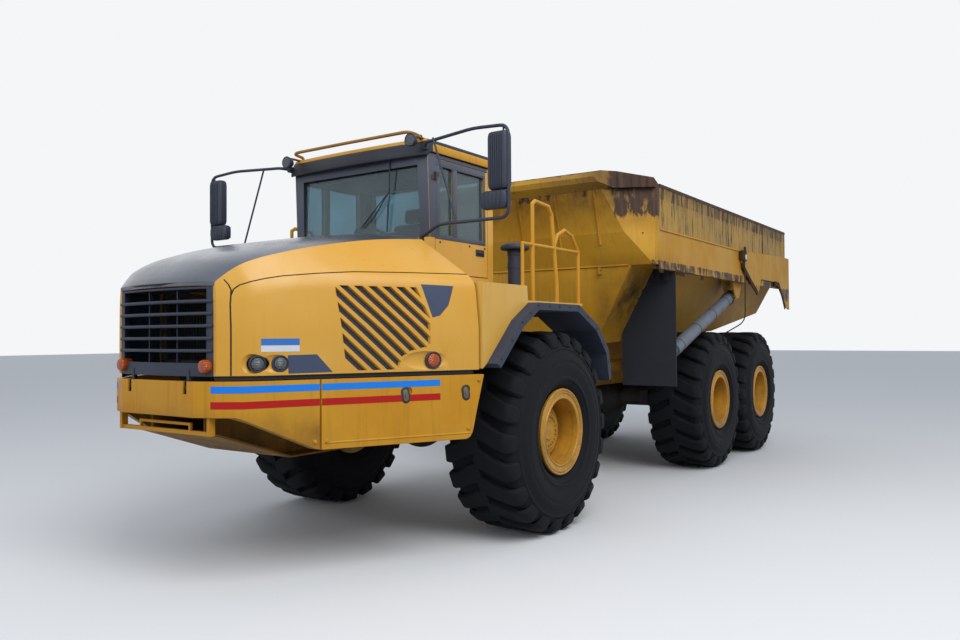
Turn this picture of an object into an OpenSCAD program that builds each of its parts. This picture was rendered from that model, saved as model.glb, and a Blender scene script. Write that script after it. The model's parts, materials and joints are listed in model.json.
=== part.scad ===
// Six-wheel articulated dump truck: a tractor unit with a tilting hood and an offset hinge,
// towing a two-axle rear frame that carries a tipping body with a pull-up tailgate.
// X runs forward, Y to the left and Z up. Inside the modules X is measured from the front axle.

/* [Overall] */
// Length from the bumper to the tailgate
overall_len = 11263; // [11000:1:11600]
// Front axle to the foremost point
front_over = 3101; // [3050:1:3200]
// Front axle back to the steering hinge
hitch_back = 1276; // [1240:1:1320]
// Front axle back to the middle axle
wheelbase = 4518; // [4450:1:4600]
// Middle axle back to the rear axle
bogie_base = 1940; // [1925:1:2000]
// Distance between the middles of a pair of wheels
track = 2636; // [2620:1:2680]

/* [Wheels] */
// Diameter over the tread
tyre_d = 1870; // [1840:1:1880]
// Width of a tyre
tyre_w = 780; // [740:1:790]
// Radius of the rim under the tyre's bead
bead_r = 330; // [320:1:345]
// Radius of the rim's outer edge
flange_r = 395; // [380:1:410]
// Width of the rim between its edges
rim_w = 700; // [660:1:710]
// Thickness of the rim's steel
rim_t = 24; // [18:1:30]
// Radius of the planetary hub in the rim
hub_r = 235; // [210:1:250]
// Radius of the axle end that the wheel turns on
spindle_r = 100; // [90:1:110]
// Running gap between turning parts
run_gap = 0.3; // [0.2:0.1:0.5]
// Lugs on each half of the tread
lug_count = 22; // [18:1:24]
// Depth of the tread between the lugs
lug_depth = 55; // [40:1:60]

/* [Frames] */
// Half distance between the outer faces of the front frame's rails
front_rail_y = 350; // [330:1:360]
// Half distance between the outer faces of the rear frame's rails
rear_rail_y = 450; // [430:1:460]
// Width of a frame rail
rail_w = 100; // [80:1:120]
// Height of the rails of the front frame
front_rail_h = 300; // [260:1:320]
// Top of the front frame's rails above the middle of the wheels
front_rail_up = 465; // [445:1:485]
// Top of the rear frame's rails, where the body rests, above the middle of the wheels
rear_rail_up = 565; // [545:1:585]
// Height of the rails of the rear frame
rear_rail_h = 340; // [300:1:360]
// Radius of an axle housing
axle_r = 130; // [120:1:140]
// Radius of the bulge round an axle's gears
diff_r = 260; // [240:1:280]

// Radius of the holes in the towing plate and the tow jaw
tow_r = 25; // [20:1:28]
// Thickness of the front towing plate
tow_t = 50; // [40:1:60]

/* [Hinge between the units] */
// Roll bearing's middle above the middle of the wheels
roll_up = 190; // [165:1:205]
// Radius of the vertical hinge pin
hitch_pin_r = 60; // [50:1:70]
// Radius of the roll bearing's shaft
roll_shaft_r = 170; // [160:1:180]
// Steering cylinder's front pivot, ahead of the hinge
steer_foot_ahead = 909; // [890:1:930]
// Steering cylinder's front pivot, from the middle
steer_foot_y = 525; // [515:1:540]
// Steering rod's eye, behind the hinge
steer_eye_behind = 321; // [310:1:330]
// Steering rod's eye, from the middle
steer_eye_y = 383; // [375:1:395]

/* [Dump body] */
// Half width over the side walls
body_half = 1690; // [1670:1:1700]
// Height of the fixed side wall's top
wall_top = 3074; // [3050:1:3100]
// Height of the top of the added side boards
board_top = 3600; // [3500:1:3640]
// Underside of the rim box that runs along the side
rim_under = 2650; // [2630:1:2670]
// Half width of the floor
floor_half = 890; // [870:1:900]
// Width of the underside of the rim box
rim_box_w = 290; // [270:1:310]
// How far the floor's front end lies below the top of the tyres
floor_drop = 150; // [140:1:160]
// Thickness of the body's walls
body_t = 40; // [30:1:50]
// Distance from the rear axle back to the tipping pivot
tip_back = 590; // [560:1:620]
// Tipping pivot above the top of the rear frame's rails
tip_up = 50; // [40:1:60]
// Radius of the tipping pivot pin
tip_pin_r = 50; // [45:1:60]

/* [Hoist] */
// Middle of a hoist cylinder in from the side of the body
hoist_in = 160; // [150:1:170]
// Lower hoist pivot behind the front axle
hoist_foot_x = 3050; // [3000:1:3080]
// Lower hoist pivot above the top of the rear frame's rails
hoist_foot_up = 100; // [90:1:110]
// Upper hoist pivot behind the front axle
hoist_eye_x = 5550; // [5500:1:5600]
// Height of the upper hoist pivot
hoist_eye_z = 2430; // [2400:1:2450]
// Radius of a hoist barrel
hoist_r = 85; // [75:1:90]

/* [Cab] */
// Room between a front tyre and the platform over it
platform_room = 250; // [230:1:270]
// Half width of the cab
cab_half = 850; // [840:1:860]
// Thickness of the cab's walls
cab_t = 60; // [50:1:70]
// Height of the roof's top
roof_top = 3600; // [3580:1:3620]
// Height of the side windows' lower edge
sill_z = 2720; // [2700:1:2740]
// Thickness of a door, panel and lining together
door_t = 50; // [45:1:55]
// Gap round the door
door_gap = 8; // [6:1:12]
// Thickness of the glass
glass_t = 8; // [6:1:10]

/* [Hood] */
// Height of the hood's lower edge
hood_base = 1550; // [1545:1:1565]
// Top of the bumper and of the lower side panels
bumper_top = 1515; // [1505:1:1520]
// Thickness of the bumper's wall
bumper_t = 60; // [50:1:70]
// Thickness of the hood's shell
hood_t = 30; // [20:1:35]
// Radius of the round markers beside the grille
marker_r = 50; // [44:1:54]
// Depth of the recesses round the lamps
recess_t = 16; // [12:1:20]
// Number of louvres in a side panel
louvre_count = 11; // [10:1:11]
// Distance from one louvre to the next, along the truck
louvre_pitch = 104; // [100:1:110]
// Width of a louvre's slot, along the truck
louvre_w = 63; // [50:1:70]
// Number of slats in the grille
slat_count = 5; // [4:1:6]
// Distance of the hood's hinge arms from the middle
hood_arm_y = 335; // [320:1:350]

/* [Hidden] */
front_x = overall_len / 2 - front_over;
hitch_x = -hitch_back;
mid_x = -wheelbase;
rear_x = mid_x - bogie_base;
tail_x = -(overall_len - front_over);
tip_x = rear_x - tip_back;
wheel_y = track / 2;
tyre_r = tyre_d / 2;
front_rail_top = tyre_r + front_rail_up;
rear_rail_top = tyre_r + rear_rail_up;
roll_z = tyre_r + roll_up;
tip_z = rear_rail_top + tip_up;
hoist_foot_z = rear_rail_top + hoist_foot_up;
hoist_y = body_half - hoist_in;
slope_half = body_half - rim_box_w;
platform_low = tyre_d + platform_room;
spindle_end = wheel_y - 140;
$fn = 64;

yellow = "#E0A020";
black = "#26282B";
steel = "#8A8C8C";
glass = "#5F7478";

// Moves what is drawn from the front axle into the truck's own frame
module unit() { translate([front_x, 0, 0]) children(); }

// Draws its child and the child's mirror image on the other side
module both_sides() {
    children();
    mirror([0, 1, 0]) children();
}

// Extrudes an outline of x, z points from y0 to y1
module side_plate(points, y0, y1) {
    translate([0, y1, 0]) rotate([90, 0, 0]) linear_extrude(y1 - y0) polygon(points);
}

// Extrudes an outline of y, z points from x0 to x1
module front_plate(points, x0, x1) {
    translate([x0, 0, 0]) rotate([90, 0, 90]) linear_extrude(x1 - x0) polygon(points);
}

// Extrudes an outline of x, y points from z0 to z1
module plan_plate(points, z0, z1) {
    translate([0, 0, z0]) linear_extrude(z1 - z0) polygon(points);
}

// Box between two corners
module block(a, b) { translate(a) cube(b - a); }

// Round bar from one point to another
module bar(a, b, r) {
    d = b - a;
    translate(a) rotate([0, atan2(norm([d[0], d[1]]), d[2]), 0 + atan2(d[1], d[0])])
        cylinder(h = norm(d), r = r);
}

// Bent tube through a list of points, with a slightly larger ball at each bend
module tube(points, r) {
    for (i = [0 : len(points) - 2]) bar(points[i], points[i + 1], r);
    for (i = [1 : len(points) - 2]) translate(points[i]) sphere(r = r * 1.04);
}

// Solid through rings of points, each ring with as many points as the next, out along one face
// and back along the other
module loft(rings) {
    n = len(rings[0]);
    last = len(rings) - 1;
    points = [for (ring = rings) for (p = ring) p];
    sides = [for (i = [0 : last - 1]) for (j = [0 : n - 1]) for (half = [0, 1])
        let (a = i * n + j, b = i * n + (j + 1) % n, c = a + n, d = b + n)
        half == 0 ? [a, b, d] : [a, d, c]];
    caps = [for (j = [0 : n / 2 - 2], end = [0, 1], half = [0, 1])
        let (k = last * n, a = j, b = j + 1, c = n - 2 - j, d = n - 1 - j)
        end == 0 ? (half == 0 ? [d, c, b] : [d, b, a]) : (half == 0 ? [k + a, k + b, k + c] : [k + a, k + c, k + d])];
    polyhedron(points = points, faces = concat(sides, caps), convexity = 6);
}

// Value at x on a table of rows whose first column falls from row to row
function along(x, rows, column) = lookup(x, [for (row = rows) [row[0], row[column]]]);

// Front frame: two rails, cross members, skid plate, cab mounts and the fork of the hinge
fork_top = roll_z + 270;
fork_low = roll_z - 270;
fork_t = 60;
seat_gap = 0.3;
frame_nose = front_over - bumper_t - seat_gap;
cab_low = 1820;
cab_floor = 1880;
panel_back = 1180;
flange_t = 20;
fork_neck = -700;
tow_x = front_over - 126;
tow_z = front_rail_top - 110;
module fork_plate(z) {
    plan_plate([[fork_neck + 1, 300], [fork_neck + 1, -300], [hitch_x + 60, -180], [hitch_x, -190],
        [hitch_x, 190], [hitch_x + 60, 180]], z, z + fork_t);
    translate([hitch_x, 0, z]) cylinder(h = fork_t, r = 190);
}
module front_frame() {
    color(yellow) unit() {
        rail_low = front_rail_top - front_rail_h;
        both_sides() side_plate([[fork_neck, rail_low], [2300, rail_low], [2600, rail_low + 150],
            [frame_nose, rail_low + 150], [frame_nose, front_rail_top], [fork_neck, front_rail_top]],
            front_rail_y - rail_w, front_rail_y);
        for (x = [900, 1900, tow_x - 159])
            block([x, -front_rail_y + 50, front_rail_top - (x > 2000 ? 130 : 280)],
                [x + 120, front_rail_y - 50, front_rail_top - 20]);
        // head plate, webs and fork that hold the hinge pin
        block([fork_neck, -front_rail_y, fork_low - fork_t], [fork_neck + 100, front_rail_y, fork_top + fork_t]);
        both_sides() block([hitch_x + 266, 160, fork_low - 1], [fork_neck + 1, 200, fork_top + 1]);
        fork_plate(fork_top);
        fork_plate(fork_low - fork_t);
        translate([hitch_x, 0, fork_low - fork_t - 20])
            cylinder(h = fork_top - fork_low + 2 * fork_t + 40, r = hitch_pin_r);
        // skid plate under the engine
        translate([0, 0, rail_low]) {
            side_plate([[2922, 30], [2250, -200], [1250, -200], [1250, -215], [2256, -215], [2928, 15]],
                -500, 500);
            both_sides() side_plate([[2922, 30], [2250, -200], [1250, -200], [1250, 1], [2300, 1],
                [2600, 151], [2922, 151]], front_rail_y - 40, front_rail_y - 20);
        }
        // cab mounts, suspension towers and bearers of the fenders
        for (x = [60, 980])
            both_sides() block([x - 50, front_rail_y - rail_w, front_rail_top - 1],
                [x + 50, front_rail_y, cab_low]);
        both_sides() {
            block([-80, front_rail_y - 10, front_rail_top - 250], [80, 700, front_rail_top - 20]);
            steer_bracket();
        }
    }
}

// Towing plate with its gussets, on the foremost cross member
module tow_plate() {
    x = tow_x - 39 + seat_gap;
    color(yellow) unit() difference() {
        union() {
            block([x, -90, tow_z], [tow_x + 33, 90, tow_z + tow_t]);
            both_sides() side_plate([[x, tow_z + tow_t - 1], [tow_x + 20, tow_z + tow_t - 1],
                [x, front_rail_top - 25]], 62, 82);
        }
        translate([tow_x, 0, tow_z - 1]) cylinder(h = tow_t + 2, r = tow_r);
    }
}

// Outriggers that carry the lower side panels and the platforms behind the cab
module outriggers() {
    color(yellow) unit() both_sides() {
        x = panel_back + flange_t + seat_gap;
        block([x, front_rail_y + seat_gap, front_rail_top - 150], [x + 60, 1490, front_rail_top - 30]);
        block([x, 1430, front_rail_top - 31], [x + 60, 1490, hood_base + 10]);
        block([x, front_rail_y + seat_gap, front_rail_top - 200],
            [x + 60, front_rail_y + 20, front_rail_top - 10]);
        block([-520, front_rail_y + seat_gap, front_rail_top - 200], [-420, front_rail_y + 60, platform_low - 100]);
        block([-520, front_rail_y + seat_gap, platform_low - 101], [-420, 1190, platform_low - seat_gap]);
    }
}

// Engine with its gearbox behind, under the hood and cab
module engine_block() {
    color("#4A4D50") unit() {
        block([1250, -500, front_rail_top], [2550, 500, 2150]);
        block([250, -230, front_rail_top], [1251, 230, 1750]);
    }
}

// An axle housing with its gear bulge and the ends that the wheels turn on
module axle(x) {
    translate([x, 0, tyre_r]) {
        rotate([90, 0, 0]) cylinder(h = 2 * spindle_end - 100, r = axle_r, center = true);
        rotate([90, 0, 0]) cylinder(h = 2 * (spindle_end + 60), r = spindle_r, center = true);
        sphere(r = diff_r);
    }
}
module front_axle() {
    color("#3A3C3E") unit() {
        axle(0);
        both_sides() {
            translate([0, 620, tyre_r]) cylinder(h = front_rail_top - 250 - tyre_r, r = 62);
            block([-90, 540, tyre_r - 75], [90, 700, tyre_r + 75]);
        }
    }
}
module mid_axle() { color("#3A3C3E") unit() axle(mid_x); }
module rear_axle() { color("#3A3C3E") unit() axle(rear_x); }

// Plan of the bumper and lower panels from the nose to the rear corner: x, y
skin_plan = [[front_over, 430], [front_over - 60, 600], [2930, 760], [2350, 1030], [panel_back, 1600]];
split_x = 2420;
latch_xs = [1790, 1330];
function skin_y(x) = lookup(x, [for (p = skin_plan) [p[0], p[1]]]);
module skin(z0, z1, t) {
    inner = [for (p = skin_plan) [p[0] - t, p[1] - 0.6 * t]];
    outline = concat([[front_over, 0]], skin_plan, [[panel_back, 1600 - 1.3 * t]],
        [for (i = [len(inner) - 2 : -1 : 0]) inner[i]], [[front_over - t, 0]]);
    both_sides() plan_plate(outline, z0, z1);
}

// Bumper round the nose back to the split in front of the wheel
slot_w = 44;
arm_pin_r = 12;
bumper_low = 1262;
pivot_x = front_over - 41;
pivot_z = bumper_top - 45;
module front_bumper() {
    color(yellow) unit() {
        difference() {
            skin(1000, bumper_top, bumper_t);
            block([0, -2000, 900], [split_x + 6, 2000, 1600]);
            side_plate([[2400, 900], [2400, 1000], [2460, 1010], [2960, bumper_low], [3200, bumper_low], [3200, 900]],
                -1200, 1200);
            for (side = [-1, 1]) translate([front_over - bumper_t - 10, side * hood_arm_y - slot_w / 2, pivot_z - 45])
                cube([100, slot_w, 200]);
        }
        both_sides() translate([pivot_x, hood_arm_y + slot_w / 2 + 8, pivot_z]) rotate([90, 0, 0])
            cylinder(h = slot_w + 16, r = arm_pin_r);
    }
}

// Folding step under the bumper
step_x = front_over - 101;
module front_step() {
    color(yellow) unit() {
        both_sides() block([step_x, 515, 1130], [step_x + 50, 545, bumper_low - seat_gap]);
        block([step_x + 10, -516, 1130], [step_x + 40, 516, 1160]);
        block([step_x + 15, -300, 1195], [step_x + 35, 300, 1215]);
        both_sides() block([step_x + 15, 290, 1150], [step_x + 35, 310, 1215]);
    }
}

// Side panels below the hood, from the split to the wheel
module lower_panels() {
    color(yellow) unit() {
        intersection() {
            skin(1000, bumper_top, 50);
            block([panel_back, -2000, 900], [split_x - 6, 2000, 1600]);
            difference() {
                block([0, -2000, 900], [3000, 2000, 1600]);
                for (x = latch_xs, side = [-1, 1]) translate([x, side * skin_y(x), 1400])
                    rotate([0, 90, side * 64]) cylinder(h = 30, r = 34, center = true);
            }
        }
        both_sides() block([panel_back, 1380, 1010], [panel_back + flange_t, 1560, bumper_top - 10]);
    }
}

// Wheel arch line over the front wheel: x, z
arch_line = [[1140, hood_base + 50], [760, platform_low - 160], [480, platform_low], [-300, platform_low],
    [-700, platform_low - 190], [-940, platform_low - 440], [-1000, platform_low - 730]];
platform_z = platform_low + 150;
platform_t = 20;
module fenders() {
    color(yellow) unit() both_sides() {
        side_plate([[1200, hood_base + 10], arch_line[0], arch_line[1], arch_line[2], [495, platform_z],
            [1200, platform_z]], 1560, 1600);
        side_plate([[1200, platform_z - 40], [520, platform_z - 40], [505, platform_low],
            [-560, platform_low], [-560, platform_low + platform_t], [482, platform_low + platform_t],
            [495, platform_z], [1200, platform_z]], cab_half + 12, 1561);
        side_plate([[480, platform_low], [-560, platform_low], [-560, platform_low + platform_t],
            [482, platform_low + platform_t]], 1560, 1600);
        side_plate([[1200, hood_base + 10], [1160, hood_base + 10], [1160, platform_z - 1], [1200, platform_z - 1]],
            cab_half + 12, 1561);
    }
}

// Black rubber flares over the front wheels
module wheel_arches() {
    inner = [for (p = arch_line) [p[0] * 0.945, tyre_r + (p[1] - tyre_r) * 0.945]];
    color(black) unit() both_sides() side_plate(concat(arch_line,
        [for (i = [len(inner) - 1 : -1 : 0]) inner[i]]), 1200, 1700);
}

// Yellow hand rails on the left and right platforms
rail_y = 1570;
rail_r = 19;
module handrails() {
    color(yellow) unit() both_sides() {
        tube([[525, rail_y, platform_z], [525, rail_y, 2650], [-530, rail_y, 2650]], rail_r - 3);
        tube([[350, rail_y, platform_low + platform_t], [350, rail_y, 3020], [300, rail_y, 3050], [60, rail_y, 3030],
            [0, rail_y, 2960], [-95, rail_y, platform_z + 30], [-95, rail_y, platform_low + platform_t]], rail_r);
        tube([[-38, rail_y, 2650], [-110, rail_y, 2780], [-250, rail_y, 2840], [-400, rail_y, 2800], [-530, rail_y, 2650],
            [-530, rail_y, platform_low + platform_t]], rail_r - 1.5);
    }
}

// Cab outline seen from the side: x, z
cab_side = [[-90, cab_low], [1110, cab_low], [1110, 2690], [930, sill_z], [960, 3480], [-90, 3480]];
cab_inner = [[-30, cab_floor + 40], [1050, cab_floor + 40], [1050, 2650], [870, 2680], [898, 3430],
    [-30, 3430]];
door_x0 = 10;
door_x1 = 850;
door_z0 = platform_z + 130;
door_z1 = 3440;
hinge_x = door_x1 + 4;
hinge_y = cab_half + 16;
hinge_rows = [door_z0 + 80, door_z1 - 200];
module cab_shell() {
    color(yellow) unit() {
        difference() {
            side_plate(cab_side, -cab_half, cab_half);
            side_plate(cab_inner, -cab_half + cab_t, cab_half - cab_t);
            // windscreen
            front_plate([[-760, 2760], [760, 2760], [740, 3400], [-740, 3400]], 800, 1100);
            // rear window
            front_plate([[-700, 2800], [700, 2800], [700, 3380], [-700, 3380]], -200, 0);
            // doorway on the left
            block([door_x0 - door_gap, cab_half - cab_t - 20, door_z0 - door_gap],
                [door_x1 + door_gap, cab_half + 20, door_z1 + door_gap]);
            // side windows on the right
            side_plate([[60, sill_z + 20], [530, sill_z + 20], [530, 3400], [60, 3400]],
                -cab_half - 20, -cab_half + cab_t + 20);
            side_plate([[580, sill_z + 20], [850, sill_z + 20], [850, 3400], [580, 3400]],
                -cab_half - 20, -cab_half + cab_t + 20);
        }
        // fixed halves of the door hinges, with their pins
        for (z = hinge_rows) {
            block([hinge_x + 6, cab_half - 5, z], [hinge_x + 56, cab_half + 12, z + 40]);
            block([hinge_x + 1, cab_half + 4, z], [hinge_x + 7, cab_half + 12, z + 40]);
            translate([hinge_x, hinge_y, z]) cylinder(h = 40, r = 12);
            translate([hinge_x, hinge_y, z + 1]) cylinder(h = 75, r = 6);
        }
    }
}

// Roof with its black visor over the windscreen
module cab_roof() {
    color(black) unit() {
        side_plate([[-110, 3480], [985, 3480], [1040, 3440], [1055, 3470], [1000, 3580], [960, roof_top],
            [0, roof_top], [-90, 3570]], -870, 870);
    }
}

// Windscreen, rear window and the two right side windows, in their openings
module cab_glass() {
    color(glass) unit() {
        front_plate([[-759.5, 2760.5], [759.5, 2760.5], [739.5, 3399.5], [-739.5, 3399.5]], 910, 910 + glass_t);
        front_plate([[-699.5, 2800.5], [699.5, 2800.5], [699.5, 3379.5], [-699.5, 3379.5]], -70, -70 + glass_t);
        block([60.5, -cab_half + 20, sill_z + 20.5], [529.5, -cab_half + 20 + glass_t, 3399.5]);
        block([580.5, -cab_half + 20, sill_z + 20.5], [849.5, -cab_half + 20 + glass_t, 3399.5]);
    }
}

// Operator's seat on its pedestal
module seat() {
    color("#3B3E42") unit() {
        block([180, -180, cab_floor + 40], [520, 180, 2301]);
        block([120, -260, 2300], [620, 260, 2440]);
        side_plate([[120, 2439], [240, 2439], [160, 3000], [60, 3000]], -240, 240);
        side_plate([[70, 2999], [150, 2999], [130, 3160], [60, 3160]], -130, 130);
    }
}

// Dashboard with the steering column and wheel
module dashboard() {
    color("#2F3236") unit() {
        side_plate([[1050, 1920], [1050, 2640], [880, 2640], [800, 2560], [880, 2500], [960, 1920]],
            -700, 700);
        bar([860, 0, 2500], [700, 0, 2760], 30);
        translate([700, 0, 2760]) rotate([0, -32, 0]) rotate_extrude() translate([210, 0]) circle(r = 16);
        translate([700, 0, 2760]) rotate([0, -32, 0]) for (a = [90, 210, 330]) rotate([0, 0, a])
            translate([0, -12, -8]) cube([210, 24, 16]);
    }
}

// Mirror frames and heads
mirror_r = 15;
mirror_out = 1860;
module mirrors() {
    color(black) unit() both_sides() {
        tube([[1015, 885, 3510], [1120, 960, 3530], [1200, mirror_out, 3520],
            [1200, mirror_out, 2775], [1200, 1160, 2775], [1060, cab_half + 20, 2700]], mirror_r);
        bar([1200, 1075, 3524], [1200, 1340, 2776], 10);
        block([990, 870, 3485], [1035, 900, 3535]);
        block([1040, cab_half, 2630], [1085, cab_half + 40, 2730]);
        block([1150, 1660, 3020], [1240, 1850, 3470]);
        block([1160, 1600, 2850], [1240, 1850, 3010]);
    }
}

// Lamps and their rail over the front of the roof
module roof_lights() {
    color(black) unit() {
        tube([[900, -800, roof_top], [900, -800, 3650], [1060, -780, 3660], [1060, 700, 3660],
            [900, 720, 3650], [900, 720, roof_top]], 16);
        both_sides() {
            translate([1060, 790, 3560]) rotate([0, 90, 0]) cylinder(h = 80, r = 58);
            block([900, 765, roof_top], [1090, 815, 3612]);
        }
        translate([840, 640, roof_top]) cylinder(h = 81, r = 45);
    }
}

// Air intake pipe with its cap, behind the cab
module intake_cap() {
    color("#55595C") unit() {
        translate([-260, 1000, platform_low + platform_t]) cylinder(h = 2691 - platform_low - platform_t, r = 75);
        translate([-260, 1000, 2690]) cylinder(h = 70, r = 150);
    }
}

// Door on the left of the cab, with the opening for its glass
module door() {
    color(yellow) unit() {
        difference() {
            block([door_x0, cab_half - door_t, door_z0], [door_x1, cab_half, door_z1]);
            block([door_x0 + 60, cab_half - 100, sill_z + 20], [530, cab_half + 20, door_z1 - 50]);
            block([575, cab_half - 100, sill_z + 20], [door_x1 - 50, cab_half + 20, door_z1 - 50]);
        }
        // moving halves of the hinges
        for (z = hinge_rows) difference() {
            union() {
                block([hinge_x - 56, cab_half - 5, z + 42], [hinge_x - 5, cab_half + 12, z + 76]);
                block([hinge_x - 6, cab_half + 4, z + 42], [hinge_x, cab_half + 12, z + 76]);
                translate([hinge_x, hinge_y, z + 42]) cylinder(h = 34, r = 12);
            }
            translate([hinge_x, hinge_y, z]) cylinder(h = 100, r = 6 + run_gap);
        }
    }
}
module door_glass() {
    color(glass) unit() {
        block([door_x0 + 60.5, cab_half - 30, sill_z + 20.5], [529.5, cab_half - 30 + glass_t, door_z1 - 50.5]);
        block([575.5, cab_half - 30, sill_z + 20.5], [door_x1 - 50.5, cab_half - 30 + glass_t, door_z1 - 50.5]);
    }
}

// Hood stations: x, half width at the base, half width at the shoulder, shoulder height,
// half width at the edge of the black top, height of that edge, height of the crown, bow of the nose
hood_rows = [
    [3028, 590, 588, 2090, 575, 2216.3, 2224, 62],
    [3000, 604, 602, 2110, 588, 2244, 2270, 58],
    [2940, 680, 662, 2140, 622, 2298, 2336, 48],
    [2860, 775, 752, 2170, 668, 2354, 2402, 34],
    [2740, 850, 826, 2205, 722, 2404, 2462, 18],
    [2600, 915, 890, 2228, 772, 2446, 2508, 6],
    [2400, 1006, 980, 2246, 828, 2497, 2566, 0],
    [2200, 1102, 1073, 2260, 872, 2537, 2610, 0],
    [1950, 1223, 1192, 2269, 918, 2581, 2658, 0],
    [1700, 1343, 1310, 2275, 954, 2615, 2695, 0],
    [1450, 1463, 1428, 2279, 972, 2640, 2722, 0],
    [1220, 1577, 1540, 2280, 985, 2658, 2738, 0]];
nose_r = 2550;
nose_half = 557.6;
module hood_top() {
    steps = 10;
    rings = [for (row = hood_rows) let (x = row[0], w = row[4], edge = row[5], rise = row[6] - edge)
        concat([for (i = [0 : steps]) let (k = 1 - 2 * i / steps)
                [x + row[7] * (1 - k * k), w * k, edge + rise * (1 - pow(k, 4))]],
            [for (i = [steps : -1 : 0]) let (k = 1 - 2 * i / steps)
                [x + row[7] * (1 - k * k), w * k, edge + rise * (1 - pow(k, 4)) - hood_t]])];
    color(black) unit() loft(rings);
}
// Lamps in the side panels: x, y, yaw of the lens, radius
lamp_rows = [[2830, 788.8, 65, 46], [2690, 869.4, 65, 46], [1590, 1395.2, 64.5, 54]];
lamp_z = 1637;
marker_y = 500;
marker_z = 1622;
module lamp_bore(row, out, depth, gap) {
    translate([row[0], row[1], lamp_z]) rotate([0, 90, row[2]]) translate([0, 0, -depth])
        cylinder(h = depth + out, r = row[3] + gap);
}
// Frame on a side panel: its first axis points down, its second to the rear, its third outwards
module on_panel(x, y, yaw, depth) {
    translate([x, y, lamp_z]) rotate([0, 90, yaw]) translate([0, 0, -depth]) children();
}
// Louvres of the side panels: slanting slots inside an outline of x, z
louvre_field = [[2300, 2210], [2300, 2165], [2240, 1572], [1860, 1572], [1830, 1660], [1760, 1712],
    [1612, 1750], [1612, 1980], [1650, 2080], [1700, 2210]];
louvre_first = 582;
module louvre_slots() {
    intersection() {
        side_plate(louvre_field, 900, 1700);
        for (i = [0 : louvre_count - 1]) let (d = louvre_first - i * louvre_pitch)
            side_plate([[d + 2300, 2300], [d + 2300 - louvre_w, 2300], [d + 1500 - louvre_w, 1500],
                [d + 1500, 1500]], 900, 1700);
    }
}
module panel_loft(low, out, t) {
    loft([for (row = hood_rows)
        let (x = row[0], b = row[1] - out, s = row[2] - out, sz = row[3], e = row[4] + 0.5 - out, ez = row[5])
        [[x, b, low], [x, b, 1900], [x, s, sz], [x, e, ez], [x, e, ez - t - 4],
            [x, s - t, sz], [x, b - t, 1900], [x, b - t, low]]]);
}
module hood_sides() {
    color(yellow) unit() both_sides() difference() {
        panel_loft(hood_base, 0, hood_t);
        louvre_slots();
        on_panel(2760, 829.1, 65, recess_t) linear_extrude(200)
            polygon([[-52, -140], [-64, -90], [-64, 90], [-52, 125], [44, 150], [60, 90], [60, -90], [40, -150]]);
        on_panel(1590, 1395.2, 64.5, recess_t) linear_extrude(200)
            polygon([[-62, 40], [-74, 0], [-62, -60], [20, -300], [40, -290], [68, -40], [64, 20], [30, 76],
                [-30, 80]]);
        for (row = lamp_rows) lamp_bore(row, 60, 80, seat_gap);
    }
}

// Black screen behind the louvres of each side panel
module louvre_screens() {
    color(black) unit() both_sides() intersection() {
        panel_loft(hood_base + 4, hood_t + seat_gap, 6);
        difference() {
            block([1540, 500, hood_base], [2380, 1700, 2236]);
            lamp_bore(lamp_rows[2], 60, 120, 2);
        }
    }
}

// Black nose with the slats of the grille and the hood's two hinge arms
module nose_ring(a, b, out, depth) {
    intersection() {
        translate([front_over - 11 - nose_r, 0, a[2]]) difference() {
            cylinder(h = b[2] - a[2], r = nose_r + out, $fn = 720);
            translate([0, 0, -1]) cylinder(h = b[2] - a[2] + 2, r = nose_r - depth, $fn = 720);
        }
        block(a, b);
    }
}
grille_low = 1645;
grille_top = 2172;
module grille() {
    color(black) unit() {
        difference() {
            nose_ring([2900, -nose_half, hood_base], [3200, nose_half, 2186], 0, 46);
            block([2900, -500, grille_low], [3200, 500, grille_top]);
            for (side = [-1, 1]) translate([2900, side * marker_y, marker_z]) rotate([0, 90, 0])
                cylinder(h = 400, r = marker_r + seat_gap);
        }
        pitch = (grille_top - grille_low) / (slat_count + 1);
        for (i = [1 : slat_count]) let (z = grille_low + i * pitch)
            nose_ring([2900, -545, z - 9], [3200, 545, z + 9], 11, 34);
        both_sides() difference() {
            union() {
                side_plate([[3045, 1600], [3045, pivot_z], [3075, pivot_z], [3075, 1600]],
                    hood_arm_y - 12, hood_arm_y + 12);
                translate([pivot_x, hood_arm_y + 12, pivot_z]) rotate([90, 0, 0]) cylinder(h = 24, r = 26);
            }
            translate([pivot_x, hood_arm_y + 20, pivot_z]) rotate([90, 0, 0])
                cylinder(h = 40, r = arm_pin_r + run_gap);
        }
    }
}

// Headlamps, front markers and side markers on the hood
module headlamps() {
    color("#C8CCD0") unit() both_sides() {
        for (row = lamp_rows) lamp_bore(row, 14, 34, 0);
        translate([2990, marker_y, marker_z]) rotate([0, 90, 0]) cylinder(h = 88, r = marker_r);
    }
}

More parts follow.
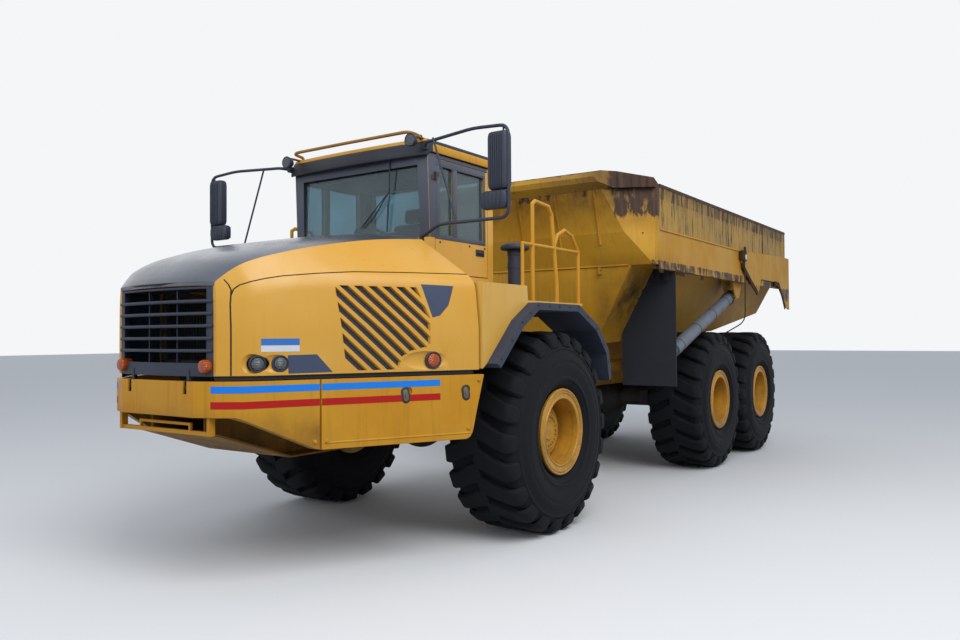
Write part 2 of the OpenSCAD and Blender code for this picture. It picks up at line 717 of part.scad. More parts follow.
// Link of the hinge: an upright barrel between the fork plates, a shaft for the roll bearing
// and two pairs of ears for the steering rods
collar_x = hitch_x - 620;
link_r = 130;
ear_gap = 100;
ear_t = 20;
module hitch_link() {
    color(yellow) unit() {
        difference() {
            union() {
                translate([hitch_x, 0, fork_low + 5]) cylinder(h = fork_top - fork_low - 10, r = link_r);
                translate([hitch_x - 60, 0, roll_z]) rotate([0, -90, 0]) cylinder(h = 900, r = roll_shaft_r);
                translate([hitch_x - 520, 0, roll_z]) rotate([0, -90, 0]) cylinder(h = 99, r = 260);
                for (z = [roll_z - ear_gap / 2 - ear_t, roll_z + ear_gap / 2])
                    plan_plate([[hitch_x - 200, -100], [hitch_x - 220, -steer_eye_y - 60],
                        [hitch_x - 420, -steer_eye_y - 60], [hitch_x - 460, -100], [hitch_x - 460, 100],
                        [hitch_x - 420, steer_eye_y + 60], [hitch_x - 220, steer_eye_y + 60],
                        [hitch_x - 200, 100]], z, z + ear_t);
            }
            translate([hitch_x, 0, 0]) cylinder(h = 3000, r = hitch_pin_r + run_gap);
        }
    }
}

// Rear frame: roll bearing collar, rails, cross members, tipping lugs and the hoist's cross tube
rail_low = rear_rail_top - rear_rail_h;
jaw_x = tip_x - 210;
jaw_z = rail_low + 120;
module rear_frame() {
    color(yellow) unit() {
        difference() {
            union() {
                translate([collar_x, 0, roll_z]) rotate([0, -90, 0]) cylinder(h = 340, r = 270);
                block([collar_x - 400, -rear_rail_y, rail_low - 180],
                    [collar_x - 330, rear_rail_y, rear_rail_top]);
            }
            translate([collar_x + 50, 0, roll_z]) rotate([0, -90, 0])
                cylinder(h = 500, r = roll_shaft_r + run_gap);
        }
        both_sides() difference() {
            union() {
                side_plate([[collar_x - 399, rail_low], [collar_x - 399, rear_rail_top],
                    [tip_x + 200, rear_rail_top], [tip_x + 100, tip_z + 60], [tip_x - 60, tip_z + 60],
                    [tip_x - 130, tip_z - 60], [tip_x - 130, rail_low]], rear_rail_y - rail_w, rear_rail_y);
            }
            translate([tip_x, 0, tip_z]) rotate([-90, 0, 0]) cylinder(h = 900, r = tip_pin_r + run_gap);
        }
        for (x = [mid_x + 918, (mid_x + rear_x) / 2 - 60, tip_x + 148])
            block([x, -rear_rail_y + 50, rail_low + 20], [x + 120, rear_rail_y - 50, rear_rail_top - 40]);
        // tail plate
        block([tip_x - 130, -rear_rail_y + 50, rail_low + 1], [tip_x - 90, rear_rail_y - 50, rear_rail_top - 60]);
    }
}

// Tow jaw on the tail plate: a flange with two ears
module tow_jaw() {
    x = tip_x - 130 - seat_gap;
    color(yellow) unit() difference() {
        union() {
            block([x - 20, -110, jaw_z - 105], [x, 110, jaw_z + 105]);
            for (z = [jaw_z - 60, jaw_z + 40]) block([jaw_x - 60, -80, z], [x - 19, 80, z + 20]);
        }
        translate([jaw_x, 0, jaw_z - 104]) cylinder(h = 208, r = tow_r);
    }
}

// Brackets on the rear rails with the hoist's lower pins
module hoist_tubes() {
    color(yellow) unit() {
        both_sides() {
            translate([-hoist_foot_x, rear_rail_y + seat_gap, rear_rail_top - 90]) rotate([-90, 0, 0])
                cylinder(h = hoist_y - 80 - rear_rail_y, r = 75);
            translate([-hoist_foot_x, rear_rail_y + seat_gap, rear_rail_top - 90]) rotate([-90, 0, 0])
                cylinder(h = 25, r = 130);
            side_plate([[-hoist_foot_x - 70, rear_rail_top - 150], [-hoist_foot_x + 70, rear_rail_top - 150],
                [-hoist_foot_x + 60, hoist_foot_z + 50], [-hoist_foot_x - 60, hoist_foot_z + 50]],
                hoist_y - 100, hoist_y - 70);
            translate([-hoist_foot_x, hoist_y - 75, hoist_foot_z]) rotate([-90, 0, 0])
                cylinder(h = 125, r = 35);
        }
    }
}

// Walking beams that carry the two rear axles
module bogie_beams() {
    mid = (mid_x + rear_x) / 2;
    color("#3A3C3E") unit() both_sides() difference() {
        union() {
            translate([0, 0, tyre_r]) side_plate([[mid_x + 190, -105], [mid_x + 190, 105], [mid + 260, 225],
                [mid - 260, 225], [rear_x - 190, 105], [rear_x - 190, -105], [mid - 200, -5],
                [mid + 200, -5]], 560, 680);
            translate([mid, rear_rail_y, tyre_r + 235]) rotate([-90, 0, 0]) cylinder(h = 110, r = 120);
        }
        for (x = [mid_x, rear_x]) translate([x, 0, tyre_r]) rotate([-90, 0, 0])
            cylinder(h = 900, r = axle_r + run_gap);
    }
}

// Dump body: section across, y, z; and line along the floor, x, z
body_front = [[-2200, rim_under], [-2060, 3030], [-1960, board_top - 60]];
floor_low = tyre_d - floor_drop;
floor_line = [[-2260, floor_low], [tip_x + 848, floor_low + 170], [tail_x + 122, floor_low + 480]];
body_back = tail_x + 62;
function floor_z(x) = lookup(-x, [for (p = floor_line) [-p[0], p[1]]]);
corner_x = -2210;
board_x = -2340;
// What lies ahead of the slanted corners of the front wall, moved forward by some way
module corner_cut(ahead) {
    both_sides() translate([corner_x + ahead, body_half, rim_under]) rotate([0, -2.7, 28.2])
        translate([0, -3000, -3000]) cube([3000, 6000, 6000]);
}
module body_outer() {
    difference() {
        body_block();
        corner_cut(0);
    }
}
module body_block() {
    intersection() {
        union() {
            front_plate([[-floor_half, floor_low], [floor_half, floor_low], [slope_half, rim_under],
                [-slope_half, rim_under]], body_back, -1900);
            front_plate([[-body_half, rim_under], [body_half, rim_under], [body_half, wall_top],
                [-body_half, wall_top]], body_back, -1900);
            front_plate([[-body_half, wall_top - 1], [body_half, wall_top - 1],
                [body_half, board_top - 60], [-body_half, board_top - 60]], board_x, -1900);
        }
        side_plate(concat(floor_line, [[body_back, floor_low + 491], [body_back, wall_top], [board_x, wall_top],
            [board_x, board_top - 60], [-1960, board_top - 60], [-2060, 3030], [-2200, rim_under]]),
            -body_half - 10, body_half + 10);
    }
}
module body_inner() {
    difference() {
        body_space();
        corner_cut(-body_t - 10);
    }
}
module body_space() {
    t = body_t;
    intersection() {
        front_plate([[-floor_half + t, floor_low - 20], [floor_half - t, floor_low - 20], [slope_half - t, rim_under],
            [body_half - t - 30, wall_top + 5], [body_half - t - 30, 3800], [-body_half + t + 30, 3800],
            [-body_half + t + 30, wall_top + 5], [-slope_half + t, rim_under]], -9000, -1900);
        side_plate(concat([for (i = [0 : 2]) floor_line[i] + [i == 0 ? -t : 0, t]], [[-9000, floor_low + 642 + t],
            [-9000, 3900], [-2010 - t, 3900], [-2110 - t, 3030], [-2200 - t, rim_under]]),
            -body_half - 10, body_half + 10);
    }
}
module dump_body() {
    color(yellow) unit() {
        difference() {
            body_outer();
            body_inner();
        }
        // gussets under the overhang of the front wall
        for (y = [-1050, -520, 0, 520, 1050]) side_plate([[-2150, 2900], [-2080, 2900], [-1930, board_top - 140],
            [-1930, board_top - 70], [-1990, board_top - 70]], y - 7, y + 7);
        // lifting eyes low on the front wall
        both_sides() difference() {
            block([-2240, 985, 2560], [-2160, 1005, 2640]);
            translate([-2185, 0, 2600]) rotate([-90, 0, 0]) cylinder(h = 2000, r = 18);
        }
        // beams under the floor that rest on the frame, and the tipping ears with their pins
        both_sides() {
            side_plate([[-2500, rear_rail_top + run_gap], [-2500, floor_z(-2500) + 1], floor_line[1] + [0, 2],
                [tip_x + 260, floor_z(tip_x + 260) + 2], [tip_x + 260, rear_rail_top + run_gap]],
                rear_rail_y - rail_w, rear_rail_y);
            side_plate([[tip_x + 320, floor_z(tip_x + 320) + 12], [tip_x - 320, floor_z(tip_x - 320) + 2],
                [tip_x - 100, tip_z - 90],
                [tip_x + 100, tip_z - 90]], rear_rail_y + 6, rear_rail_y + 66);
            translate([tip_x, rear_rail_y - rail_w, tip_z]) rotate([-90, 0, 0])
                cylinder(h = rail_w + 60, r = tip_pin_r);
            hoist_clevis();
            translate([gate_x, body_half - 30, gate_z]) rotate([-90, 0, 0])
                cylinder(h = 54, r = gate_pin_r);
            // lower rim of the side wall, and bump stops under it
            block([body_back + 400, body_half - 60, rim_under - 45], [-2330, body_half - 1, rim_under + 1]);
            for (x = [-3050, -3300]) translate([x, slope_half + 140, rim_under - 60])
                cylinder(h = 61, r = 42);
        }
    }
}
module hoist_clevis() {
    for (y = [hoist_y - 80, hoist_y + 60]) side_plate([[-hoist_eye_x - 260, rim_under + 1],
        [-hoist_eye_x + 260, rim_under + 1], [-hoist_eye_x + 70, hoist_eye_z - 60],
        [-hoist_eye_x - 70, hoist_eye_z - 60]], y, y + 20);
}

// Guard along the top of the front wall
guard_x = -1865;
guard_top = board_top + 150;
module spill_guard() {
    color("#5A4A2A") unit() difference() {
        side_plate([[-2330, board_top - 60 + seat_gap], [-1965, board_top - 60 + seat_gap],
            [guard_x - 20, 3620], [guard_x, 3680], [guard_x - 40, guard_top], [-1990, guard_top - 15],
            [-2330, board_top - 10]], -body_half, body_half);
        corner_cut(75);
    }
}

// Worn boards that raise the side walls, with stiffening posts inside
board_t = 45;
post_count = 6;
post_pitch = 900;
module side_boards() {
    color("#B8862A") unit() both_sides() {
        block([tail_x + 160, body_half - board_t, wall_top], [board_x - seat_gap, body_half, board_top - 40]);
        block([tail_x + 160, body_half - board_t - 10, board_top - 41], [board_x - 20, body_half + 4, board_top]);
        for (i = [0 : post_count - 1]) let (x = board_x - 400 - i * post_pitch)
            block([x - 45, body_half - board_t - 25, wall_top + seat_gap], [x + 45, body_half - board_t + 1, board_top - 41]);
    }
}

// Mud flaps that hang from the body in front of the rear wheels
flap_x = -2850;
module mud_flaps() {
    color(black) unit() both_sides() {
        front_plate([[980, 1200], [body_half, 1200], [body_half, rim_under - 46],
            [body_half - 61, rim_under - 46], [body_half - 61, rim_under - seat_gap],
            [slope_half + 10, rim_under - seat_gap],
            [1010, floor_low + 190], [980, floor_low + 130]], flap_x, flap_x + 15);
        for (y = [slope_half + 50, slope_half + 150])
            block([flap_x + 14, y, rim_under - 160], [flap_x + 60, y + 50, rim_under - seat_gap]);
    }
}

// Tailgate on its side arms
gate_x = -5540;
gate_z = 2980;
gate_pin_r = 30;
module tailgate() {
    color(yellow) unit() {
        both_sides() difference() {
            side_plate([[gate_x + 90, gate_z + 90], [gate_x + 90, gate_z - 90], [gate_x - 400, 2640],
                [gate_x - 700, 2500], [gate_x - 780, 2500], [gate_x - 900, 2700], [-7500, 2700],
                [-7900, 2300], [tail_x, 2260], [tail_x, 3150], [-7600, 3150]],
                body_half + 6, body_half + 24);
            translate([gate_x, 0, gate_z]) rotate([-90, 0, 0]) cylinder(h = 3000, r = gate_pin_r + run_gap);
        }
        front_plate([[-body_half - 7, 2700], [-slope_half, 2680], [-1180, 2300], [1180, 2300],
            [slope_half, 2680], [body_half + 7, 2700], [body_half + 7, 3150], [-body_half - 7, 3150]],
            tail_x, tail_x + 50);
    }
}

// Hoist cylinders
hoist_d = [hoist_foot_x - hoist_eye_x, hoist_eye_z - hoist_foot_z];
hoist_len = norm(hoist_d);
hoist_tilt = atan2(hoist_d[1], -hoist_d[0]);
module hoist_frame() {
    translate([-hoist_foot_x, 0, hoist_foot_z]) rotate([0, hoist_tilt - 90, 0]) children();
}
module hoist_barrels() {
    color("#55595C") unit() both_sides() translate([0, hoist_y, 0]) difference() {
        union() {
            hoist_frame() {
                translate([0, 0, 110]) cylinder(h = hoist_len - 350, r = hoist_r);
                cylinder(h = 111, r = 60);
                rotate([90, 0, 0]) cylinder(h = 122, r = 72, center = true);
            }
        }
        hoist_frame() {
            rotate([90, 0, 0]) cylinder(h = 200, r = 35 + run_gap, center = true);
            translate([0, 0, 250]) cylinder(h = 3000, r = 50 + run_gap);
        }
    }
}
module hoist_rods() {
    color(steel) unit() both_sides() translate([0, hoist_y, 0]) hoist_frame() {
        translate([0, 0, 260]) cylinder(h = hoist_len - 320, r = 50);
        translate([0, 0, hoist_len]) rotate([90, 0, 0]) cylinder(h = 108, r = 70, center = true);
    }
}

// Steering cylinders: the barrel turns on a bracket of the front frame, the rod ends in the ears
steer_foot_x = hitch_x + steer_foot_ahead;
steer_d = [-steer_foot_ahead - steer_eye_behind, steer_eye_y - steer_foot_y];
steer_len = norm(steer_d);
steer_yaw = atan2(steer_d[1], steer_d[0]);
steer_r = 58;
steer_rod_r = 32;
steer_pin_r = 25;
module steer_bracket() {
    for (z = [roll_z - ear_gap / 2 - ear_t, roll_z + ear_gap / 2])
        block([steer_foot_x - 70, front_rail_y - 5, z], [steer_foot_x + 70, steer_foot_y + 70, z + ear_t]);
    translate([steer_foot_x, steer_foot_y, roll_z - ear_gap / 2 - 1]) cylinder(h = ear_gap + 2, r = steer_pin_r);
}
module steer_frame() {
    translate([steer_foot_x, steer_foot_y, roll_z]) rotate([0, 0, steer_yaw]) rotate([0, 90, 0]) children();
}
module steer_barrel() {
    color("#55595C") difference() {
        union() steer_frame() {
            translate([0, 0, 90]) cylinder(h = 690, r = steer_r);
            cylinder(h = 91, r = 40);
            rotate([0, 90, 0]) cylinder(h = ear_gap - 2, r = 52, center = true);
        }
        steer_frame() {
            rotate([0, 90, 0]) cylinder(h = 200, r = steer_pin_r + run_gap, center = true);
            translate([0, 0, 110]) cylinder(h = 3000, r = steer_rod_r + run_gap);
        }
    }
}
module steer_rod() {
    color(steel) steer_frame() {
        translate([0, 0, 540]) cylinder(h = steer_len - 570, r = steer_rod_r);
        translate([0, 0, steer_len]) rotate([0, 90, 0]) cylinder(h = ear_gap - 12, r = 48, center = true);
    }
}
module steer_barrel_left() { unit() steer_barrel(); }
module steer_barrel_right() { unit() mirror([0, 1, 0]) steer_barrel(); }
module steer_rod_left() { unit() steer_rod(); }
module steer_rod_right() { unit() mirror([0, 1, 0]) steer_rod(); }

// A wheel stands at an axle's x on one side; y grows outwards
module wheel_at(x, side) {
    translate([front_x + x, side * wheel_y, tyre_r]) rotate([90, 0, 0]) mirror([0, 0, side > 0 ? 1 : 0])
        children();
}

// Tyre: radius, distance from the middle plane
half_w = tyre_w / 2;
tyre_half = [[bead_r + run_gap, rim_w / 2 - 40], [flange_r + 10, rim_w / 2 - 30], [470, half_w - 22],
    [500, half_w - 4], [650, half_w], [700, half_w - 8], [720, half_w - 26], [800, half_w - 30],
    [tyre_r - 40, half_w - 40], [tyre_r, half_w - 85]];
// A groove of the tread seen from outside: distance from the middle plane, distance round the tyre
groove = [[-30, 14], [90, 44], [200, 100], [430, 134], [430, 236], [190, 170], [60, 92], [-30, 62]];
module tyre() {
    pitch = 360 / lug_count;
    color("#222325") difference() {
        rotate_extrude(convexity = 4) polygon(concat(tyre_half,
            [for (i = [len(tyre_half) - 1 : -1 : 0]) [tyre_half[i][0], -tyre_half[i][1]]]));
        for (side = [0, 1], i = [0 : lug_count - 1])
            mirror([0, 0, side]) rotate([0, 0, (i + side / 2) * pitch])
                translate([tyre_r - lug_depth, 0, 0]) rotate([0, 90, 0])
                    linear_extrude(lug_depth + 40) polygon([for (p = groove) [-p[0], p[1] - 125]]);
    }
}

// Rim with its deep dish and the planetary hub in the middle
module rim() {
    e = rim_w / 2;
    color(yellow) difference() {
        union() {
            rotate_extrude() polygon([[bead_r - rim_t, -e], [flange_r, -e], [flange_r, -e + 24],
                [bead_r, -e + 36], [bead_r, e - 36], [flange_r, e - 24], [flange_r, e],
                [bead_r - rim_t, e]]);
            translate([0, 0, -60]) cylinder(h = 30, r = bead_r - rim_t + 1);
            translate([0, 0, -140]) cylinder(h = 200, r = hub_r + 40);
            translate([0, 0, 59]) cylinder(h = 116, r = hub_r);
            translate([0, 0, 174]) cylinder(h = 26, r = hub_r - 60);
            translate([0, 0, 199]) cylinder(h = 14, r = hub_r - 150);
        }
        translate([0, 0, -141]) cylinder(h = 61 + 1 + run_gap, r = spindle_r + run_gap);
    }
}
module tyre_front_left() { wheel_at(0, 1) tyre(); }
module tyre_front_right() { wheel_at(0, -1) tyre(); }
module tyre_mid_left() { wheel_at(mid_x, 1) tyre(); }
module tyre_mid_right() { wheel_at(mid_x, -1) tyre(); }
module tyre_rear_left() { wheel_at(rear_x, 1) tyre(); }
module tyre_rear_right() { wheel_at(rear_x, -1) tyre(); }
module rim_front_left() { wheel_at(0, 1) rim(); }
module rim_front_right() { wheel_at(0, -1) rim(); }
module rim_mid_left() { wheel_at(mid_x, 1) rim(); }
module rim_mid_right() { wheel_at(mid_x, -1) rim(); }
module rim_rear_left() { wheel_at(rear_x, 1) rim(); }
module rim_rear_right() { wheel_at(rear_x, -1) rim(); }

front_frame();
tow_plate();
tow_jaw();
outriggers();
engine_block();
front_axle();
front_bumper();
front_step();
lower_panels();
fenders();
wheel_arches();
handrails();
cab_shell();
cab_roof();
cab_glass();
seat();
dashboard();
mirrors();
roof_lights();
intake_cap();
door();
door_glass();
hood_top();
hood_sides();
louvre_screens();
grille();
headlamps();
hitch_link();
rear_frame();
hoist_tubes();
mid_axle();
rear_axle();
bogie_beams();
dump_body();
spill_guard();
side_boards();
mud_flaps();
tailgate();
hoist_barrels();
hoist_rods();
steer_barrel_left();
steer_barrel_right();
steer_rod_left();
steer_rod_right();
tyre_front_left();
tyre_front_right();
tyre_mid_left();
tyre_mid_right();
tyre_rear_left();
tyre_rear_right();
rim_front_left();
rim_front_right();
rim_mid_left();
rim_mid_right();
rim_rear_left();
rim_rear_right();
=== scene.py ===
# Six-wheel articulated dump truck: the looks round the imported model.
import bpy, bmesh, json, math, random
from mathutils import Matrix, Vector
from mathutils.noise import noise


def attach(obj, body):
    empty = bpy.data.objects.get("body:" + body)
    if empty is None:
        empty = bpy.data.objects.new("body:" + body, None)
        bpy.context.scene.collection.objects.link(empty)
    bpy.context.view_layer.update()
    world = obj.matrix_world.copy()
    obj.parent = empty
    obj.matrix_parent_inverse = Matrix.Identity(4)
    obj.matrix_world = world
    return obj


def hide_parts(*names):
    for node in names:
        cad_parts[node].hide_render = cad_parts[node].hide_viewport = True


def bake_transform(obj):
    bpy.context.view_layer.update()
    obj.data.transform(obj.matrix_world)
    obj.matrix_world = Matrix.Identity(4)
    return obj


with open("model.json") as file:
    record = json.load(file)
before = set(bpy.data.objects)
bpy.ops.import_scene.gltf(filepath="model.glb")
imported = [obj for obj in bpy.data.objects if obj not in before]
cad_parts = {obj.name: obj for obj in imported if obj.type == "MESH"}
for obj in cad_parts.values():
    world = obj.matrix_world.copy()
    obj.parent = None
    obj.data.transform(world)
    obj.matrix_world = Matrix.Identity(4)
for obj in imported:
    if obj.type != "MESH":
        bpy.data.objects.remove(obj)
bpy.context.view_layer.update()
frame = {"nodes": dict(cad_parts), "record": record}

# Camera: stands ahead of the truck's left front corner at eye height and looks back along it.
# Its place, turn and focal length were fitted to the photograph's own view.
camera_place = (9.207, 5.346, 1.821)
camera_turn, camera_tilt, camera_roll = -145.450, 1.169, -0.341
camera = bpy.data.objects.new("camera", bpy.data.cameras.new("camera"))
camera.data.sensor_width, camera.data.lens = 36.0, 30.55
camera.matrix_world = (Matrix.Translation(camera_place)
    @ Matrix.Rotation(math.radians(camera_turn - 90), 4, "Z")
    @ Matrix.Rotation(math.radians(90 + camera_tilt), 4, "X")
    @ Matrix.Rotation(math.radians(camera_roll), 4, "Z"))
camera.data.clip_end = 400
bpy.context.scene.collection.objects.link(camera)
bpy.context.scene.camera = camera
bpy.context.scene.view_settings.view_transform = "Standard"

def linear(code):
    """An sRGB hex colour as the linear colour that a shader takes."""
    parts = [int(code[i:i + 2], 16) / 255 for i in (1, 3, 5)]
    return tuple(p / 12.92 if p < 0.04045 else ((p + 0.055) / 1.055) ** 2.4 for p in parts) + (1,)

def add(tree, kind, settings, inputs):
    """Adds a node, sets its properties, and sets or links its inputs."""
    node = tree.nodes.new(kind)
    for name, value in settings.items():
        setattr(node, name, value)
    for name, value in inputs.items():
        if isinstance(value, bpy.types.NodeSocket):
            tree.links.new(value, node.inputs[name])
        else:
            node.inputs[name].default_value = value
    return node

# Studio: a pale floor, a white surround that mirrors and glass also see, and two large soft lamps,
# high on the left and ahead, that stand for the overcast sky's brighter side.
def seen_share(tree):
    """1 for rays from the camera, through glass and off gloss, and 0 for rays that light the truck."""
    path = add(tree, "ShaderNodeLightPath", {}, {}).outputs
    direct = add(tree, "ShaderNodeMath", {"operation": "MAXIMUM"},
        {0: path["Is Camera Ray"], 1: path["Is Transmission Ray"]})
    return add(tree, "ShaderNodeMath", {"operation": "MAXIMUM"},
        {0: direct.outputs[0], 1: path["Is Glossy Ray"]}).outputs[0]

world = bpy.data.worlds.new("studio")
bpy.context.scene.world = world
world.use_nodes = True
tree = world.node_tree
tree.nodes.clear()
light = add(tree, "ShaderNodeBackground", {}, {"Color": linear("#E3EBF7"), "Strength": 0.55})
shown = add(tree, "ShaderNodeBackground", {}, {"Color": linear("#F4F6F8"), "Strength": 1.0})
mixed = add(tree, "ShaderNodeMixShader", {},
    {0: seen_share(tree), 1: light.outputs[0], 2: shown.outputs[0]})
add(tree, "ShaderNodeOutputWorld", {}, {"Surface": mixed.outputs[0]})

floor_half = 90
floor_mesh = bpy.data.meshes.new("floor")
floor_mesh.from_pydata([(-floor_half, -floor_half, 0), (floor_half, -floor_half, 0),
    (floor_half, floor_half, 0), (-floor_half, floor_half, 0)], [], [(0, 1, 2, 3)])
floor = bpy.data.objects.new("floor", floor_mesh)
bpy.context.scene.collection.objects.link(floor)
# Screeded concrete: matt, and grey to the rays that light the truck, so that it throws no glare
concrete = bpy.data.materials.new("pale_concrete_floor")
concrete.use_nodes = True
tree = concrete.node_tree
shader = tree.nodes["Principled BSDF"]
shader.inputs["Roughness"].default_value = 0.85
shown = add(tree, "ShaderNodeMix", {"data_type": "RGBA"},
    {0: seen_share(tree), 6: linear("#8A8C90"), 7: linear("#E9EAEB")})
tree.links.new(shown.outputs[2], shader.inputs["Base Color"])
floor_mesh.materials.append(concrete)

for name, place, target, size, power in (
        ("sky_left", (7, 9, 11), (0, 0, 1.5), 9, 1150),
        ("sky_front", (15, -1, 8), (2, 0, 1.5), 8, 350)):
    data = bpy.data.lights.new(name, "AREA")
    data.size, data.energy = size, power
    lamp = bpy.data.objects.new(name, data)
    lamp.location = place
    lamp.rotation_euler = (Vector(target) - Vector(place)).to_track_quat("-Z", "Y").to_euler()
    bpy.context.scene.collection.objects.link(lamp)

# Enamel on sheet steel: sprayed two-pack paint, glossy when new and now chalky, with rain streaks
# down the sides, road dust low down, and chips to primer and rust along the edges.
def enamel(name, colour, faded, dust, streaks, chips, rough=0.38, dust_top=1.9, rust="#4A2A18",
        edge=6, worn_places=(), torn_grain=(4, 4, 2.2), stains_and_shade=(), streak_colour="#6A4A1E",
        coat=0.12, gloss=0.5):
    """A paint: shares run from 0 to 1, edge is in millimetres, heights and places are in metres."""
    material = bpy.data.materials.new(name)
    material.use_nodes = True
    tree = material.node_tree
    shader = tree.nodes["Principled BSDF"]
    place = add(tree, "ShaderNodeTexCoord", {}, {}).outputs["Object"]
    cloud = add(tree, "ShaderNodeTexNoise", {}, {"Vector": place, "Scale": 1.3, "Detail": 4.0})
    fade = add(tree, "ShaderNodeMapRange", {}, {"Value": cloud.outputs[0], "From Min": 0.35,
        "From Max": 0.7})
    base = add(tree, "ShaderNodeMix", {"data_type": "RGBA"}, {0: fade.outputs[0], 6: linear(colour),
        7: linear(faded)})
    # streaks are 15 to 40 mm wide and run down for half a metre
    drawn = add(tree, "ShaderNodeMapping", {}, {"Vector": place, "Scale": (26, 26, 1.6)})
    run = add(tree, "ShaderNodeTexNoise", {}, {"Vector": drawn.outputs[0], "Scale": 1.0, "Detail": 3.0})
    run_mask = add(tree, "ShaderNodeMapRange", {}, {"Value": run.outputs[0], "From Min": 0.52,
        "From Max": 0.78, "To Max": streaks})
    streaked = add(tree, "ShaderNodeMix", {"data_type": "RGBA"}, {0: run_mask.outputs[0],
        6: base.outputs[2], 7: linear(streak_colour)})
    # dust thins out towards dust_top metres above the ground
    height = add(tree, "ShaderNodeSeparateXYZ", {}, {0: place}).outputs["Z"]
    low = add(tree, "ShaderNodeMapRange", {}, {"Value": height, "From Min": dust_top, "From Max": 0.5})
    grime = add(tree, "ShaderNodeTexNoise", {}, {"Vector": place, "Scale": 5.0, "Detail": 6.0,
        "Roughness": 0.65})
    grime_mask = add(tree, "ShaderNodeMapRange", {}, {"Value": grime.outputs[0], "From Min": 0.3,
        "From Max": 0.75, "To Max": dust})
    dusty = add(tree, "ShaderNodeMath", {"operation": "MULTIPLY"}, {0: low.outputs[0],
        1: grime_mask.outputs[0]})
    dirtied = add(tree, "ShaderNodeMix", {"data_type": "RGBA"}, {0: dusty.outputs[0],
        6: streaked.outputs[2], 7: linear("#5C4526")})
    # chips sit where the rounded normal leaves the flat one, within a few millimetres of an edge
    rounded = add(tree, "ShaderNodeBevel", {"samples": 4}, {"Radius": edge / 1000})
    flat = add(tree, "ShaderNodeNewGeometry", {}, {}).outputs["Normal"]
    turn = add(tree, "ShaderNodeVectorMath", {"operation": "DOT_PRODUCT"},
        {0: rounded.outputs[0], 1: flat})
    speck = add(tree, "ShaderNodeTexNoise", {}, {"Vector": place, "Scale": 38.0, "Detail": 5.0,
        "Roughness": 0.7})
    edge_mask = add(tree, "ShaderNodeMapRange", {}, {"Value": turn.outputs["Value"], "From Min": 0.995,
        "From Max": 0.90})
    chip = add(tree, "ShaderNodeMath", {"operation": "MULTIPLY"}, {0: edge_mask.outputs[0],
        1: speck.outputs[0]})
    chip_mask = add(tree, "ShaderNodeMapRange", {},
        {"Value": chip.outputs[0], "From Min": 0.66 - 0.3 * chips, "From Max": 0.74 - 0.3 * chips})
    chipped = add(tree, "ShaderNodeMix", {"data_type": "RGBA"}, {0: chip_mask.outputs[0],
        6: dirtied.outputs[2], 7: linear(rust)})
    painted = chipped.outputs[2]

    def inside_box(middle, half, share, core):
        """A share that holds within a part of a box and fades to nothing at its sides."""
        away = add(tree, "ShaderNodeVectorMath", {"operation": "SUBTRACT"}, {0: place, 1: middle})
        shares = add(tree, "ShaderNodeVectorMath", {"operation": "DIVIDE"},
            {0: away.outputs[0], 1: half})
        sizes = add(tree, "ShaderNodeVectorMath", {"operation": "ABSOLUTE"}, {0: shares.outputs[0]})
        axes = add(tree, "ShaderNodeSeparateXYZ", {}, {0: sizes.outputs[0]})
        wide = add(tree, "ShaderNodeMath", {"operation": "MAXIMUM"},
            {0: axes.outputs[0], 1: axes.outputs[1]})
        far = add(tree, "ShaderNodeMath", {"operation": "MAXIMUM"},
            {0: wide.outputs[0], 1: axes.outputs[2]})
        return add(tree, "ShaderNodeMapRange", {}, {"Value": far.outputs[0], "From Min": 1.0,
            "From Max": core, "To Max": share}).outputs[0]

    # each stain or patch of painted shade, and each worn place, is a box of middle and half size in
    # metres, with how much of its paint is darkened or gone
    for middle, half, darkening in stains_and_shade:
        shade = add(tree, "ShaderNodeMath", {"operation": "MULTIPLY"},
            {0: inside_box(middle, half, darkening, 0.3), 1: grime.outputs[0]})
        painted = add(tree, "ShaderNodeMix", {"data_type": "RGBA"}, {0: shade.outputs[0], 6: painted,
            7: linear("#2E1E12")}).outputs[2]
    if worn_places:
        grain = add(tree, "ShaderNodeMapping", {}, {"Vector": place, "Scale": torn_grain})
        torn = add(tree, "ShaderNodeTexNoise", {}, {"Vector": grain.outputs[0], "Scale": 1.0,
            "Detail": 9.0, "Roughness": 0.68})
        patch = add(tree, "ShaderNodeMapRange", {}, {"Value": run.outputs[0], "From Min": 0.35,
            "From Max": 0.72})
        steel = add(tree, "ShaderNodeMix", {"data_type": "RGBA"},
            {0: patch.outputs[0], 6: linear("#1C1714"), 7: linear("#563720")})
    for middle, half, gone in worn_places:
        bare = add(tree, "ShaderNodeMath", {"operation": "ADD"},
            {0: torn.outputs[0], 1: inside_box(middle, half, gone, 0.6)})
        bare_mask = add(tree, "ShaderNodeMapRange", {}, {"Value": bare.outputs[0], "From Min": 0.90,
            "From Max": 0.98})
        painted = add(tree, "ShaderNodeMix", {"data_type": "RGBA"},
            {0: bare_mask.outputs[0], 6: painted, 7: steel.outputs[2]}).outputs[2]
    tree.links.new(painted, shader.inputs["Base Color"])
    dull = add(tree, "ShaderNodeMapRange", {}, {"Value": grime.outputs[0], "From Min": 0.3,
        "From Max": 0.8, "To Min": rough, "To Max": rough + 0.22})
    tree.links.new(dull.outputs[0], shader.inputs["Roughness"])
    peel = add(tree, "ShaderNodeTexNoise", {}, {"Vector": place, "Scale": 9.0, "Detail": 2.0})
    bump = add(tree, "ShaderNodeBump", {}, {"Height": peel.outputs[0], "Strength": 0.06,
        "Distance": 0.02, "Normal": rounded.outputs[0]})
    tree.links.new(bump.outputs[0], shader.inputs["Normal"])
    shader.inputs["Specular IOR Level"].default_value = gloss
    shader.inputs["Coat Weight"].default_value = coat
    shader.inputs["Coat Roughness"].default_value = 0.25
    return material

